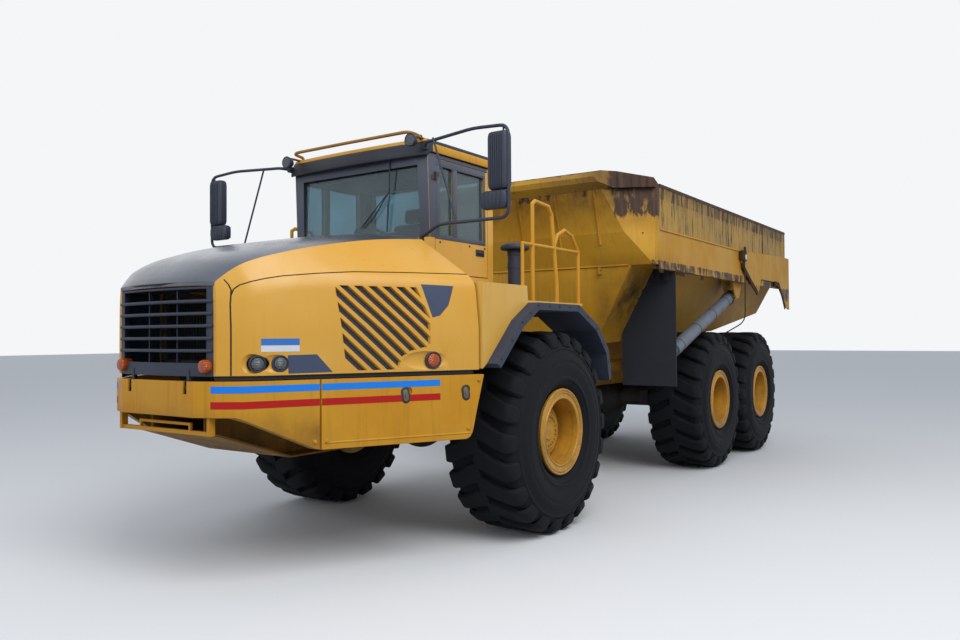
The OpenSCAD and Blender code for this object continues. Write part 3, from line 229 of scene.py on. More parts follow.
# Moulded, cast, rubber and cloth surfaces: one even colour broken by dust and by fine grain,
# whose size is given in millimetres.
def grained(name, colour, dusty_colour, rough, grain_mm, depth, dust, metal=0.0, dust_top=3.0,
        edge=0.0, gloss=0.5):
    """A surface with fine grain: grain and edge are in millimetres, dust_top is in metres."""
    material = bpy.data.materials.new(name)
    material.use_nodes = True
    tree = material.node_tree
    shader = tree.nodes["Principled BSDF"]
    place = add(tree, "ShaderNodeTexCoord", {}, {}).outputs["Object"]
    cloud = add(tree, "ShaderNodeTexNoise", {}, {"Vector": place, "Scale": 6.0, "Detail": 6.0,
        "Roughness": 0.6})
    height = add(tree, "ShaderNodeSeparateXYZ", {}, {0: place}).outputs["Z"]
    low = add(tree, "ShaderNodeMapRange", {}, {"Value": height, "From Min": dust_top, "From Max": 0.0,
        "To Min": 0.35})
    mask = add(tree, "ShaderNodeMapRange", {}, {"Value": cloud.outputs[0], "From Min": 0.35,
        "From Max": 0.75, "To Max": dust})
    amount = add(tree, "ShaderNodeMath", {"operation": "MULTIPLY"},
        {0: mask.outputs[0], 1: low.outputs[0]})
    colours = add(tree, "ShaderNodeMix", {"data_type": "RGBA"},
        {0: amount.outputs[0], 6: linear(colour), 7: linear(dusty_colour)})
    tree.links.new(colours.outputs[2], shader.inputs["Base Color"])
    dull = add(tree, "ShaderNodeMapRange", {}, {"Value": cloud.outputs[0], "From Min": 0.3,
        "From Max": 0.8, "To Min": rough, "To Max": min(1.0, rough + 0.2)})
    tree.links.new(dull.outputs[0], shader.inputs["Roughness"])
    grain = add(tree, "ShaderNodeTexNoise", {}, {"Vector": place, "Scale": 1000 / grain_mm,
        "Detail": 2.0})
    bump = add(tree, "ShaderNodeBump", {}, {"Height": grain.outputs[0], "Strength": depth,
        "Distance": grain_mm / 1000})
    if edge:
        rounded = add(tree, "ShaderNodeBevel", {"samples": 4}, {"Radius": edge / 1000})
        tree.links.new(rounded.outputs[0], bump.inputs["Normal"])
    tree.links.new(bump.outputs[0], shader.inputs["Normal"])
    shader.inputs["Metallic"].default_value = metal
    shader.inputs["Specular IOR Level"].default_value = gloss
    return material

# Tinted safety glass: laminated float glass, smooth and mirroring, with a thin film of dust that
# dims it in patches.
def tinted_glass(name, colour):
    """A clear pane whose dust film takes up to a fifth of its transparency."""
    material = bpy.data.materials.new(name)
    material.use_nodes = True
    tree = material.node_tree
    shader = tree.nodes["Principled BSDF"]
    place = add(tree, "ShaderNodeTexCoord", {}, {}).outputs["Object"]
    film = add(tree, "ShaderNodeTexNoise", {}, {"Vector": place, "Scale": 3.0, "Detail": 5.0})
    clear_share = add(tree, "ShaderNodeMapRange", {}, {"Value": film.outputs[0], "From Min": 0.3,
        "From Max": 0.75, "To Min": 0.94, "To Max": 0.80})
    tree.links.new(clear_share.outputs[0], shader.inputs["Transmission Weight"])
    dusty = add(tree, "ShaderNodeMix", {"data_type": "RGBA"}, {0: film.outputs[0], 6: linear(colour),
        7: linear("#7F8F92")})
    tree.links.new(dusty.outputs[2], shader.inputs["Base Color"])
    shader.inputs["Roughness"].default_value = 0.02
    shader.inputs["IOR"].default_value = 1.5
    return material

# Finishes of the parts that the imported model draws by itself, one for each of its paint, plastic,
# rubber and metal slots. Enamel gives soft highlights, the black one of the hood a clear mirror of
# the sky; moulded plastic and rubber are bluish black and matt, the blue being painted reflection of
# the sky, as it is on the black enamel; cast iron is dark with oily dust.
finishes = {
    "yellow_paint": enamel("yellow_enamel", "#CC8C10", "#D29A26", dust=0.3, streaks=0.22, chips=0.3,
        gloss=0.35, coat=0.0),
    "worn_yellow_paint": enamel("worn_yellow_enamel", "#C98A10", "#D69C22", dust=0.9, streaks=0.5,
        chips=0.6, rough=0.5, dust_top=2.4),
    # blue tint painted into the black enamel for the sky's reflection
    "black_paint": enamel("black_enamel", "#2A3344", "#3C475C", dust=0.2, streaks=0.0, chips=0.0,
        rough=0.22, dust_top=3.0, coat=0.8),
    "dark_cast_iron": grained("greasy_cast_iron", "#242424", "#4E453A", 0.6, 6, 0.3, 0.8, edge=5),
    "bright_steel": grained("chromed_steel", "#B9BCBE", "#7A756C", 0.2, 3, 0.03, 0.4, metal=1.0),
    # blue tint painted into the black plastic and rubber for the sky's reflection
    "black_plastic": grained("black_moulding", "#212939", "#3D475A", 0.5, 2.5, 0.08, 0.35, edge=4),
    "black_rubber": grained("black_rubber_sheet", "#171A22", "#353A46", 0.72, 4, 0.12, 0.5, edge=5),
    "tyre_rubber": grained("tyre_rubber", "#0D0F13", "#24262B", 0.72, 9, 0.25, 0.75, dust_top=2.2,
        edge=8, gloss=0.2),
    "seat_fabric": grained("woven_seat_cloth", "#23262B", "#38383A", 0.9, 3, 0.4, 0.2),
    "window_glass": tinted_glass("tinted_window_glass", "#98C4D4"),
    "lamp_glass": grained("moulded_lamp", "#B9BEC2", "#8A8A84", 0.2, 8, 0.1, 0.2),
}
for node_name, shown_node in frame["nodes"].items():
    for row in frame["record"]["subparts"]:
        if row["node"] == node_name and row["material_slot"] in finishes:
            shown_node.data.materials.clear()
            shown_node.data.materials.append(finishes[row["material_slot"]])

# Tyres: tubeless earthmover tyres of tough natural rubber, with tall lugs staggered in two rows
# and bars that run down the shoulders. Each is one moulding seated on its rim.
def piece_of(name, verts, faces, material, smooth=30):
    """Makes a piece from points and faces, with faces outwards and edges sharp past some degrees."""
    shape = bmesh.new()
    made = [shape.verts.new(v) for v in verts]
    for face in faces:
        shape.faces.new([made[i] for i in face])
    bmesh.ops.remove_doubles(shape, verts=shape.verts, dist=1e-6)
    bmesh.ops.recalc_face_normals(shape, faces=shape.faces)
    mesh = bpy.data.meshes.new(name)
    shape.to_mesh(mesh)
    shape.free()
    mesh.materials.append(material)
    mesh.shade_smooth()
    mesh.set_sharp_from_angle(angle=math.radians(smooth))
    piece = bpy.data.objects.new(name, mesh)
    bpy.context.scene.collection.objects.link(piece)
    return piece

def lofted(rings, closed_ends=True):
    """Points and faces of a solid through rings of as many points each."""
    n, last = len(rings[0]), len(rings) - 1
    faces = [(i * n + j, i * n + (j + 1) % n, (i + 1) * n + (j + 1) % n, (i + 1) * n + j)
        for i in range(last) for j in range(n)]
    if closed_ends:
        faces += [tuple(range(n))[::-1], tuple(range(last * n, last * n + n))]
    return [p for ring in rings for p in ring], faces

def turned(profile, turns):
    """Points and faces of a closed outline of radius and y, turned about the Y axis."""
    rings = [[(r * math.sin(a), y, r * math.cos(a)) for r, y in profile]
        for a in (2 * math.pi * i / turns for i in range(turns))]
    return lofted(rings + [rings[0]], closed_ends=False)

def joined(shapes):
    """Several lists of points and faces as one."""
    verts, faces = [], []
    for points, sides in shapes:
        faces += [tuple(i + len(verts) for i in side) for side in sides]
        verts += points
    return verts, faces

def baked(piece):
    """Applies a piece's modifiers and leaves it a plain mesh."""
    graph = bpy.context.evaluated_depsgraph_get()
    mesh = bpy.data.meshes.new_from_object(piece.evaluated_get(graph), depsgraph=graph)
    piece.modifiers.clear()
    piece.data = mesh
    return piece

def copies_tree(name, turned_copies):
    """A Geometry Nodes tree that repeats its input: round the Y axis, or along a straight step."""
    tree = bpy.data.node_groups.new(name, "GeometryNodeTree")
    for label, kind, way in (("Geometry", "NodeSocketGeometry", "INPUT"),
            ("Count", "NodeSocketInt", "INPUT"), ("Step", "NodeSocketVector", "INPUT"),
            ("Finish", "NodeSocketMaterial", "INPUT"), ("Geometry", "NodeSocketGeometry", "OUTPUT")):
        tree.interface.new_socket(label, in_out=way, socket_type=kind)
    given = add(tree, "NodeGroupInput", {}, {}).outputs
    line = add(tree, "GeometryNodeMeshLine", {}, {"Count": given["Count"]})
    if turned_copies:
        line.inputs["Offset"].default_value = (0, 0, 0)
        index = add(tree, "GeometryNodeInputIndex", {}, {})
        turn = add(tree, "ShaderNodeVectorMath", {"operation": "SCALE"}, {0: given["Step"],
            "Scale": index.outputs[0]})
        placed = add(tree, "GeometryNodeInstanceOnPoints", {}, {"Points": line.outputs[0],
            "Instance": given["Geometry"], "Rotation": turn.outputs[0]})
    else:
        tree.links.new(given["Step"], line.inputs["Offset"])
        placed = add(tree, "GeometryNodeInstanceOnPoints", {}, {"Points": line.outputs[0],
            "Instance": given["Geometry"]})
    real = add(tree, "GeometryNodeRealizeInstances", {}, {"Geometry": placed.outputs[0]})
    finished = add(tree, "GeometryNodeSetMaterial", {}, {"Geometry": real.outputs[0],
        "Material": given["Finish"]})
    add(tree, "NodeGroupOutput", {}, {"Geometry": finished.outputs[0]})
    return tree

ring_of_copies = copies_tree("ring_of_copies", True)
row_of_copies = copies_tree("row_of_copies", False)

def repeated(piece, tree, count, step):
    """Repeats a piece by a tree, with a step in radians about each axis or in metres."""
    change = piece.modifiers.new("copies", "NODES")
    change.node_group = tree
    sockets = {s.name: s.identifier for s in tree.interface.items_tree if s.in_out == "INPUT"}
    change[sockets["Count"]] = count
    change[sockets["Step"]] = step
    change[sockets["Finish"]] = piece.data.materials[0]
    return baked(piece)

def put(piece, places):
    """Gives a piece one copy of its mesh at each place."""
    mesh, shape = piece.data, bmesh.new()
    for place in places:
        part = mesh.copy()
        part.transform(place)
        if place.determinant() < 0:
            part.flip_normals()
        shape.from_mesh(part)
    shape.to_mesh(mesh)
    shape.free()
    return piece

# The front axle's place along the truck, and how far behind it the other two axles lie
front_x = 2.5305
mid_back, rear_back = 4.518, 6.458
wheel_xs = {"front": front_x, "mid": front_x - mid_back, "rear": front_x - rear_back}
# The wheel's middle sideways and its height, which is also the tyre's radius
wheel_y, wheel_z, lug_count = 1.318, 0.935, 22
# Half of the casing's outline, from the bead round the side wall to the tread: radius, y
tyre_half = [(0.331, 0.300), (0.395, 0.312), (0.412, 0.320), (0.440, 0.346), (0.462, 0.366),
    (0.478, 0.369), (0.483, 0.381), (0.500, 0.385), (0.512, 0.379), (0.524, 0.378), (0.560, 0.3845),
    (0.600, 0.3880), (0.645, 0.3895), (0.651, 0.3865), (0.660, 0.3865), (0.666, 0.3895),
    (0.700, 0.3850), (0.722, 0.3700), (0.757, 0.3610), (0.768, 0.3660), (0.780, 0.3640),
    (0.790, 0.3520), (0.820, 0.3380), (0.850, 0.3180), (0.868, 0.2850), (0.876, 0.2000),
    (0.879, 0.1000)]
# One lug across the tread: radius of its top, distance from the middle, depth below the top, and
# the two sides round the tyre, in metres
lug_rows = [(0.934, -0.022, 0.056, -0.055, 0.120), (0.935, 0.060, 0.056, -0.030, 0.145),
    (0.935, 0.130, 0.056, 0.010, 0.172), (0.934, 0.195, 0.057, 0.045, 0.205),
    (0.932, 0.260, 0.058, 0.066, 0.222), (0.926, 0.300, 0.060, 0.076, 0.232),
    (0.912, 0.328, 0.056, 0.082, 0.238), (0.890, 0.347, 0.046, 0.086, 0.241),
    (0.858, 0.357, 0.030, 0.090, 0.243), (0.826, 0.363, 0.022, 0.096, 0.238),
    (0.800, 0.366, 0.016, 0.106, 0.228)]

def tread_lug():
    """A lug of each row: a block with chamfered edges, wider at its foot."""
    bevel_depth, bevel_width, flare = 0.007, 0.013, 0.014
    shoulder_start, shoulder_width, shoulder_turn = 0.20, 0.16, 1.45
    rings = []
    for k, (r, y, depth, low, high) in enumerate(lug_rows):
        # over the shoulder the lug turns from standing outwards to standing sideways
        lean = min(1.0, max(0.0, (y - shoulder_start) / shoulder_width))
        inward = (math.cos(lean * shoulder_turn), math.sin(lean * shoulder_turn))
        foot = (r - depth * inward[0], y - depth * inward[1])
        edge = (r - bevel_depth * inward[0], y - bevel_depth * inward[1])
        ring = [(foot, low - flare), (edge, low), ((r, y), low + bevel_width),
            ((r, y), high - bevel_width), (edge, high), (foot, high + flare)]
        if k in (0, len(lug_rows) - 1):
            ring = [((point[0] - 0.004, point[1]), side) for point, side in ring]
        rings.append(ring)
    ends = []
    for ring, shift in ((rings[0], -0.012), (rings[-1], 0.0)):
        foot = ring[0][0]
        ends.append([((foot[0], foot[1] + shift), side) for point, side in ring])
    both = []
    for side, shift in ((1, 0.0), (-1, math.pi / lug_count)):
        shaped = [[(r * math.sin(t / wheel_z + shift), side * y, r * math.cos(t / wheel_z + shift))
            for (r, y), t in ring] for ring in [ends[0]] + rings + [ends[1]]]
        both.append(lofted(shaped))
    return joined(both)

lugs = piece_of("lugs", *tread_lug(), finishes["tyre_rubber"])
repeated(lugs, ring_of_copies, lug_count, (0, 2 * math.pi / lug_count, 0))
casing = piece_of("casing", *turned(tyre_half + [(r, -y) for r, y in tyre_half[::-1]], 88),
    finishes["tyre_rubber"])
for axle, x in wheel_xs.items():
    for side, y in (("left", wheel_y), ("right", -wheel_y)):
        turn = random.Random(axle + side).uniform(0, 0.28)
        tyre = bpy.data.objects.new("tyre_moulding_" + axle + "_" + side, casing.data.copy())
        bpy.context.scene.collection.objects.link(tyre)
        shape = bmesh.new()
        shape.from_mesh(casing.data)
        shape.from_mesh(lugs.data)
        shape.to_mesh(tyre.data)
        shape.free()
        way = Matrix.Rotation(turn, 4, "Y")
        if y < 0:
            way = Matrix.Rotation(math.pi, 4, "Z") @ way
        put(tyre, [Matrix.Translation((x, y, wheel_z)) @ way])
        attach(tyre, "wheel_" + axle + "_" + side)
        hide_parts("tyre_" + axle + "_" + side)
for spare in (lugs, casing):
    bpy.data.objects.remove(spare)

# Wheel fittings: the split lock ring that holds the bead, the rolled steps of the rim's flange,
# a ring of nuts in the dish and the studs of the planetary hub, all steel and sprayed with the rim.
# The paint is chalky and dusty, and bare to the rust along its edges.
wheel_enamel = enamel("wheel_enamel", "#D0921A", "#DCA63A", dust=0.75, streaks=0.15, chips=0.9,
    rough=0.42, dust_top=2.0, rust="#3A2214",
    worn_places=[((0, side * 1.335, 1.25), (8.0, 0.075, 0.55), 0.38) for side in (1, -1)])
hexagon = [math.pi * i / 3 for i in range(6)]
hex_nut = lofted([[(r * math.cos(a), y, r * math.sin(a)) for a in hexagon]
    for r, y in ((0.017, 0), (0.017, 0.020), (0.011, 0.026))])
lock_section = [(0.388 + 0.013 * math.cos(a), 0.3480 + 0.013 * math.sin(a))
    for a in (math.pi * i / 4 for i in range(8))]
flange_steps = joined([turned(section, 64) for section in (
    [(0.357, 0.345), (0.357, 0.354), (0.361, 0.358), (0.371, 0.358), (0.375, 0.354), (0.375, 0.345)],
    [(0.303, 0.300), (0.303, 0.350), (0.308, 0.357), (0.318, 0.357), (0.323, 0.350), (0.325, 0.345),
    (0.318, 0.300)])])
nut_count = 20
for axle, x in wheel_xs.items():
    for side, y in (("left", wheel_y), ("right", -wheel_y)):
        outwards = Matrix.Identity(4) if y > 0 else Matrix.Rotation(math.pi, 4, "Z")
        frame["nodes"]["rim_" + axle + "_" + side].data.materials[0] = wheel_enamel
        lock = piece_of("lock_ring_" + axle + "_" + side, *turned(lock_section, 64), wheel_enamel)
        flange = piece_of("rim_steps_" + axle + "_" + side, *flange_steps, wheel_enamel)
        nuts = piece_of("wheel_nuts_" + axle + "_" + side, *hex_nut, wheel_enamel)
        put(nuts, [Matrix.Translation((0, 0.060, 0.255)),
            Matrix.Translation((0, 0.2, 0.135)) @ Matrix.Scale(0.7, 4)])
        repeated(nuts, ring_of_copies, nut_count, (0, 2 * math.pi / nut_count, 0))
        for part in (lock, nuts, flange):
            put(part, [Matrix.Translation((x, y, wheel_z)) @ outwards])
            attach(part, "wheel_" + axle + "_" + side)

# Hood: a black moulded top over two pressed and sprayed side panels with rounded shoulders.
# The panels are cut by slanting louvres and by round holes for the lamps.
# Stations: x from the front axle, half width at the base, half width and height of the shoulder,
# half width and height of the black top's edge, height of the crown, bow of the nose
hood_stations = [(3.028, 0.590, 0.588, 2.090, 0.575, 2.216, 2.224, 0.062),
    (3.000, 0.604, 0.602, 2.110, 0.588, 2.244, 2.270, 0.058),
    (2.940, 0.680, 0.662, 2.140, 0.622, 2.298, 2.336, 0.048),
    (2.860, 0.775, 0.752, 2.170, 0.668, 2.354, 2.402, 0.034),
    (2.740, 0.850, 0.826, 2.205, 0.722, 2.404, 2.462, 0.018),
    (2.600, 0.915, 0.890, 2.228, 0.772, 2.446, 2.508, 0.006),
    (2.400, 1.006, 0.980, 2.246, 0.828, 2.497, 2.566, 0.0),
    (2.200, 1.102, 1.073, 2.260, 0.872, 2.537, 2.610, 0.0),
    (1.950, 1.223, 1.192, 2.269, 0.918, 2.581, 2.658, 0.0),
    (1.700, 1.343, 1.310, 2.275, 0.954, 2.615, 2.695, 0.0),
    (1.450, 1.463, 1.428, 2.279, 0.972, 2.640, 2.722, 0.0),
    (1.220, 1.577, 1.540, 2.280, 0.985, 2.658, 2.738, 0.0)]

# The side panel's foot, the height up to which it is straight, how far from the shoulder its
# rounding starts, and its thickness with the lining
panel_foot, panel_straight, shoulder_round, panel_depth = 1.553, 1.9, 0.075, 0.028

def station(at):
    """The hood's station at a place between two rows, on a smooth curve through all of them."""
    i = min(int(at), len(hood_stations) - 2)
    t = at - i
    rows = [hood_stations[min(max(k, 0), len(hood_stations) - 1)] for k in (i - 1, i, i + 1, i + 2)]
    return [0.5 * (2 * b + (c - a) * t + (2 * a - 5 * b + 4 * c - d) * t * t
        + (3 * b - a - 3 * c + d) * t ** 3) for a, b, c, d in zip(*rows)]

hood_steps = [station(i / 5) for i in range(5 * (len(hood_stations) - 1) + 1)]

def side_section(row):
    """The outer face of a side panel at a station, from the base up: y, z."""
    base, shoulder, z, edge, edge_z = row[1:6]
    length = math.hypot(edge - shoulder, edge_z - z)
    start = (base + (shoulder - base) * (z - shoulder_round - panel_straight) / (z - panel_straight),
        z - shoulder_round)
    end = (shoulder + (edge - shoulder) * shoulder_round / length,
        z + (edge_z - z) * shoulder_round / length)
    bend = [((1 - t) ** 2 * start[0] + 2 * t * (1 - t) * shoulder + t * t * end[0],
        (1 - t) ** 2 * start[1] + 2 * t * (1 - t) * z + t * t * end[1])
        for t in (0, 0.2, 0.4, 0.6, 0.8, 1)]
    foot = [(base, panel_foot), (base, 1.66), (base, 1.78), (base, panel_straight),
        ((base + start[0]) / 2, (panel_straight + start[1]) / 2)]
    return foot + bend + [((end[0] + edge) / 2, (end[1] + edge_z) / 2), (edge, edge_z)]

def on_side(x, z, out=0.0):
    """The point of the left side panel at a place seen from the side, moved outwards by some metres."""
    k = next((i for i in range(len(hood_steps) - 1) if hood_steps[i + 1][0] <= x), len(hood_steps) - 2)
    a, b = hood_steps[k], hood_steps[k + 1]
    share = (a[0] - x) / (a[0] - b[0])
    section = side_section([p + (q - p) * share for p, q in zip(a, b)])
    for (y0, z0), (y1, z1) in zip(section, section[1:]):
        if z <= z1 or (y1, z1) == section[-1]:
            y = y0 + (y1 - y0) * (z - z0) / (z1 - z0)
            break
    slope = math.hypot(b[1] - a[1], b[0] - a[0])
    lean = Vector(((b[1] - a[1]) / slope, (a[0] - b[0]) / slope, 0))
    tip = Vector((0, z1 - z0, y0 - y1)).normalized()
    face = Vector((lean.x, lean.y * tip.y, tip.z)).normalized()
    return Vector((front_x + x, y, z)) + face * out

def skin_on_side(outline, out):
    """Points and faces of a thin plate that lies on the left side panel inside an outline of x, z."""
    pitch, depth = 0.05, 0.004
    shape = bmesh.new()
    shape.faces.new([shape.verts.new((x, 0, z)) for x, z in outline])
    for axis in (0, 2):
        low, high = min(p[axis // 2] for p in outline), max(p[axis // 2] for p in outline)
        for i in range(1, int((high - low) / pitch) + 1):
            spot = [0, 0, 0]
            spot[axis] = low + i * pitch
            way = [0, 0, 0]
            way[axis] = 1
            bmesh.ops.bisect_plane(shape, geom=shape.verts[:] + shape.edges[:] + shape.faces[:],
                plane_co=spot, plane_no=way)
    top = [on_side(v.co.x, v.co.z, out) for v in shape.verts]
    foot = [on_side(v.co.x, v.co.z, out - depth) for v in shape.verts]
    n = len(top)
    shape.verts.index_update()
    faces = [tuple(v.index for v in f.verts) for f in shape.faces]
    rims = [(e.verts[0].index, e.verts[1].index) for e in shape.edges if len(e.link_faces) == 1]
    shape.free()
    return top + foot, faces + [tuple(i + n for i in f[::-1]) for f in faces] + [(a, b, b + n, a + n)
        for a, b in rims]

def cut_by(piece, cutter):
    """Cuts one piece's shape out of another and deletes the cutter."""
    change = piece.modifiers.new("cut", "BOOLEAN")
    change.operation, change.solver, change.object = "DIFFERENCE", "EXACT", cutter
    baked(piece)
    bpy.data.objects.remove(cutter)
    piece.data.shade_smooth()
    piece.data.set_sharp_from_angle(angle=math.radians(30))
    return piece

def both_hands(piece):
    """Adds the mirror image of a piece on the truck's other side."""
    return put(piece, [Matrix.Identity(4), Matrix.Scale(-1, 4, (0, 1, 0))])

def clipped(outline, low, high):
    """The part of an outline of x, z whose x - z lies between two values."""
    for sign, bound in ((1, low), (-1, -high)):
        kept = []
        for (x0, z0), (x1, z1) in zip(outline, outline[1:] + outline[:1]):
            a, b = sign * (x0 - z0) - bound, sign * (x1 - z1) - bound
            if a >= 0:
                kept.append((x0, z0))
            if a * b < 0:
                t = a / (a - b)
                kept.append((x0 + (x1 - x0) * t, z0 + (z1 - z0) * t))
        outline = kept
    return outline

# Enamel of the hood, the fenders and the cab: the hood is the glossiest, and the other two are a shade
# lighter as painted light from the bright sky on them. Road dirt has run from the door's hinges, and
# out of the bumper's slots.
hood_enamel = enamel("hood_enamel", "#D79C2A", "#DDA843", dust=0.25, streaks=0.05, chips=0.12,
    rough=0.26)
fender_enamel = enamel("fender_enamel", "#DDAA44", "#E6B85E", dust=0.2, streaks=0.1, chips=0.2,
    rough=0.32)
cab_enamel = enamel("cab_enamel", "#DAA236", "#E0AE4A", dust=0.2, streaks=0.1, chips=0.2, rough=0.3,
    stains_and_shade=[((front_x + 0.854, 0.87, z), (0.09, 0.035, 0.08), 3.0) for z in (2.385, 3.278)])
for name, paint in (("fenders", fender_enamel), ("cab_shell", cab_enamel), ("door", cab_enamel)):
    frame["nodes"][name].data.materials[0] = paint
# Arch rubber: extruded, and painted a dull blue grey that stands in for the sky's reflection on black
# rubber
frame["nodes"]["wheel_arches"].data.materials[0] = grained("weathered_arch_rubber", "#2A3040",
    "#485062", 0.6, 4, 0.12, 0.5, edge=6)
# the lower front under the bumper is darkened with painted shade, where its faces turn down away from
# the light
frame["nodes"]["front_bumper"].data.materials[0] = enamel("bumper_enamel", "#CC8C10", "#D29A26",
    dust=0.3, streaks=0.22, chips=0.3, gloss=0.35, coat=0.0,
    stains_and_shade=[((front_x + 3.052, side * 0.335, 1.48), (0.046, 0.05, 0.11), 4.0) for side in (1, -1)]
    + [((front_x + 2.75, 0, 1.05), (1.4, 9, 0.30), 0.8)])
rings = []
for row in hood_steps:
    x, width, edge, rise, bow = row[0], row[4], row[5], row[6] - row[5], row[7]
    ks = [1 - i / 14 for i in range(29)]
    top = [(front_x + x + bow * (1 - k * k), width * k, edge + rise * (1 - k ** 4)) for k in ks]
    rings.append(top + [(px, py * 0.985, pz - panel_depth) for px, py, pz in top[::-1]])
hood_shell = piece_of("hood_top_moulding", *lofted(rings), finishes["black_paint"], smooth=40)
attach(hood_shell, "hood")
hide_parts("hood_top")

rings = []
for row in hood_steps:
    outer = side_section(row)
    inner = [(y - panel_depth, z - (0.02 if z > row[3] else 0)) for y, z in outer]
    rings.append([(front_x + row[0], y, z) for y, z in outer + inner[::-1]])
side_panels = piece_of("hood_side_panels", *lofted(rings), hood_enamel)
# Louvres: the field's outline as x, z, and slots that slant at 45 degrees, each a band of x - z
louvre_field = [(2.300, 2.210), (2.300, 2.165), (2.240, 1.572), (1.860, 1.572), (1.830, 1.660),
    (1.760, 1.712), (1.612, 1.750), (1.612, 1.980), (1.650, 2.080), (1.700, 2.210)]
louvre_low, louvre_high, louvre_pitch, louvre_count = 0.519, 0.582, 0.104, 11
holes = []
for i in range(louvre_count):
    slot = clipped(louvre_field, louvre_low - louvre_pitch * i, louvre_high - louvre_pitch * i)
    if len(slot) > 2:
        holes.append(lofted([[(front_x + x, y, z) for x, z in slot] for y in (0.85, 1.75)]))
# Lamps, each with its x, y, the way it faces in degrees and its radius, all at one height
lamp_z = 1.637
lamp_places = [(2.830, 0.7888, 65, 0.046), (2.690, 0.8694, 65, 0.046), (1.590, 1.3952, 64.5, 0.054)]

def at_lamp(x, y, yaw):
    """The frame of a lamp: its Y axis points out of the panel."""
    return Matrix.Translation((front_x + x, y, lamp_z)) @ Matrix.Rotation(math.radians(yaw - 90), 4,
        "Z")

for x, y, yaw, radius in lamp_places:
    points, sides = turned([(0.0, -0.08), (radius + 0.004, -0.08), (radius + 0.004, 0.10), (0.0, 0.10)],
        32)
    holes.append(([tuple(at_lamp(x, y, yaw) @ Vector(p)) for p in points], sides))
cut_by(side_panels, piece_of("hole_shapes", *joined(holes), hood_enamel))
# scoops pressed into the panel in front of and round the lamps
scoops = []
for x, yaw, half_length, half_height, depth in ((2.880, 65, 0.150, 0.072, 0.034),
        (2.735, 65, 0.120, 0.070, 0.028), (1.655, 64.5, 0.205, 0.078, 0.030)):
    base = on_side(x, lamp_z)
    way = Matrix.Translation(base) @ Matrix.Rotation(math.radians(yaw - 90), 4, "Z")
    rings = []
    for i in range(1, 12):
        a = math.pi * i / 12
        rings.append([tuple(way @ Vector((-half_length * math.cos(a),
            0.010 + depth * math.sin(a) * math.sin(b), half_height * math.sin(a) * math.cos(b))))
            for b in (2 * math.pi * k / 20 for k in range(20))])
    scoops.append(lofted(rings))
for scoop in scoops:
    cut_by(side_panels, piece_of("scoop_shape", *scoop, hood_enamel))
both_hands(side_panels)
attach(side_panels, "hood")
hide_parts("hood_sides")

# Seams of the hood: the joint under the upper band and the upright one behind the nose, each a
# narrow strip standing a little proud of the panel, whose dark brown is painted shade of the seam's
# groove.
seam_half, seam_proud = 0.0035, 0.0012
seal_rubber = grained("seal_rubber", "#2A2115", "#3A2E1A", 0.8, 3, 0.1, 0.2)
seams = [[(2.956, 1.556), (2.956, 1.75), (2.956, 1.95), (2.955, 2.06), (2.950, 2.12), (2.935, 2.165),
    (2.905, 2.196), (2.850, 2.220), (2.760, 2.246), (2.647, 2.268), (2.400, 2.297), (2.138, 2.319),
    (1.751, 2.328), (1.380, 2.333), (1.222, 2.334)], [(2.950, 2.12), (2.946, 2.16), (2.955, 2.20),
    (2.975, 2.235)]]
strips = []
for line in seams:
    fine = []
    for (x0, z0), (x1, z1) in zip(line, line[1:]):
        fine += [(x0 + (x1 - x0) * k / 5, z0 + (z1 - z0) * k / 5) for k in range(5)]
    fine.append(line[-1])
    rings = []
    beyond = (2 * fine[-1][0] - fine[-2][0], 2 * fine[-1][1] - fine[-2][1])
    for (x0, z0), (x1, z1) in zip(fine, fine[1:] + [beyond]):
        length = math.hypot(x1 - x0, z1 - z0)
        nx, nz = -(z1 - z0) / length * seam_half, (x1 - x0) / length * seam_half
        rings.append([on_side(x0 + sx * nx, z0 + sx * nz, out) for sx, out in ((-1, -0.004),
            (1, -0.004), (1, seam_proud), (-1, seam_proud))])
    strips.append(lofted(rings))
seals = both_hands(piece_of("hood_seals", *joined(strips), seal_rubber))
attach(seals, "hood")

# Plates on the side panel: the blank shield, the dark lamp surround and a blank two-colour label,
# all cut from glossy vinyl film and stuck on.
film_black = grained("dark_vinyl_film", "#33405A", "#46516A", 0.35, 4, 0.04, 0.2)
film_blue = grained("blue_vinyl_film", "#2F6FBF", "#4A7FC0", 0.4, 4, 0.04, 0.15)
film_white = grained("white_vinyl_film", "#D9DDE2", "#B9BCC0", 0.45, 4, 0.04, 0.2)
for name, outline, film in (
        ("shield_plate", [(1.662, 2.236), (1.402, 2.229), (1.456, 2.072), (1.531, 1.990),
            (1.590, 1.975), (1.612, 2.055)], film_black),
        ("lamp_surround", [(2.645, 1.696), (2.446, 1.699), (2.337, 1.567), (2.640, 1.564)], film_black),
        ("label_top", [(2.814, 1.816), (2.565, 1.816), (2.565, 1.768), (2.814, 1.768)], film_blue),
        ("label_foot", [(2.814, 1.767), (2.565, 1.767), (2.565, 1.722), (2.814, 1.722)], film_white)):
    plate = both_hands(piece_of(name, *skin_on_side(outline, 0.0016), film))
    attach(plate, "hood")
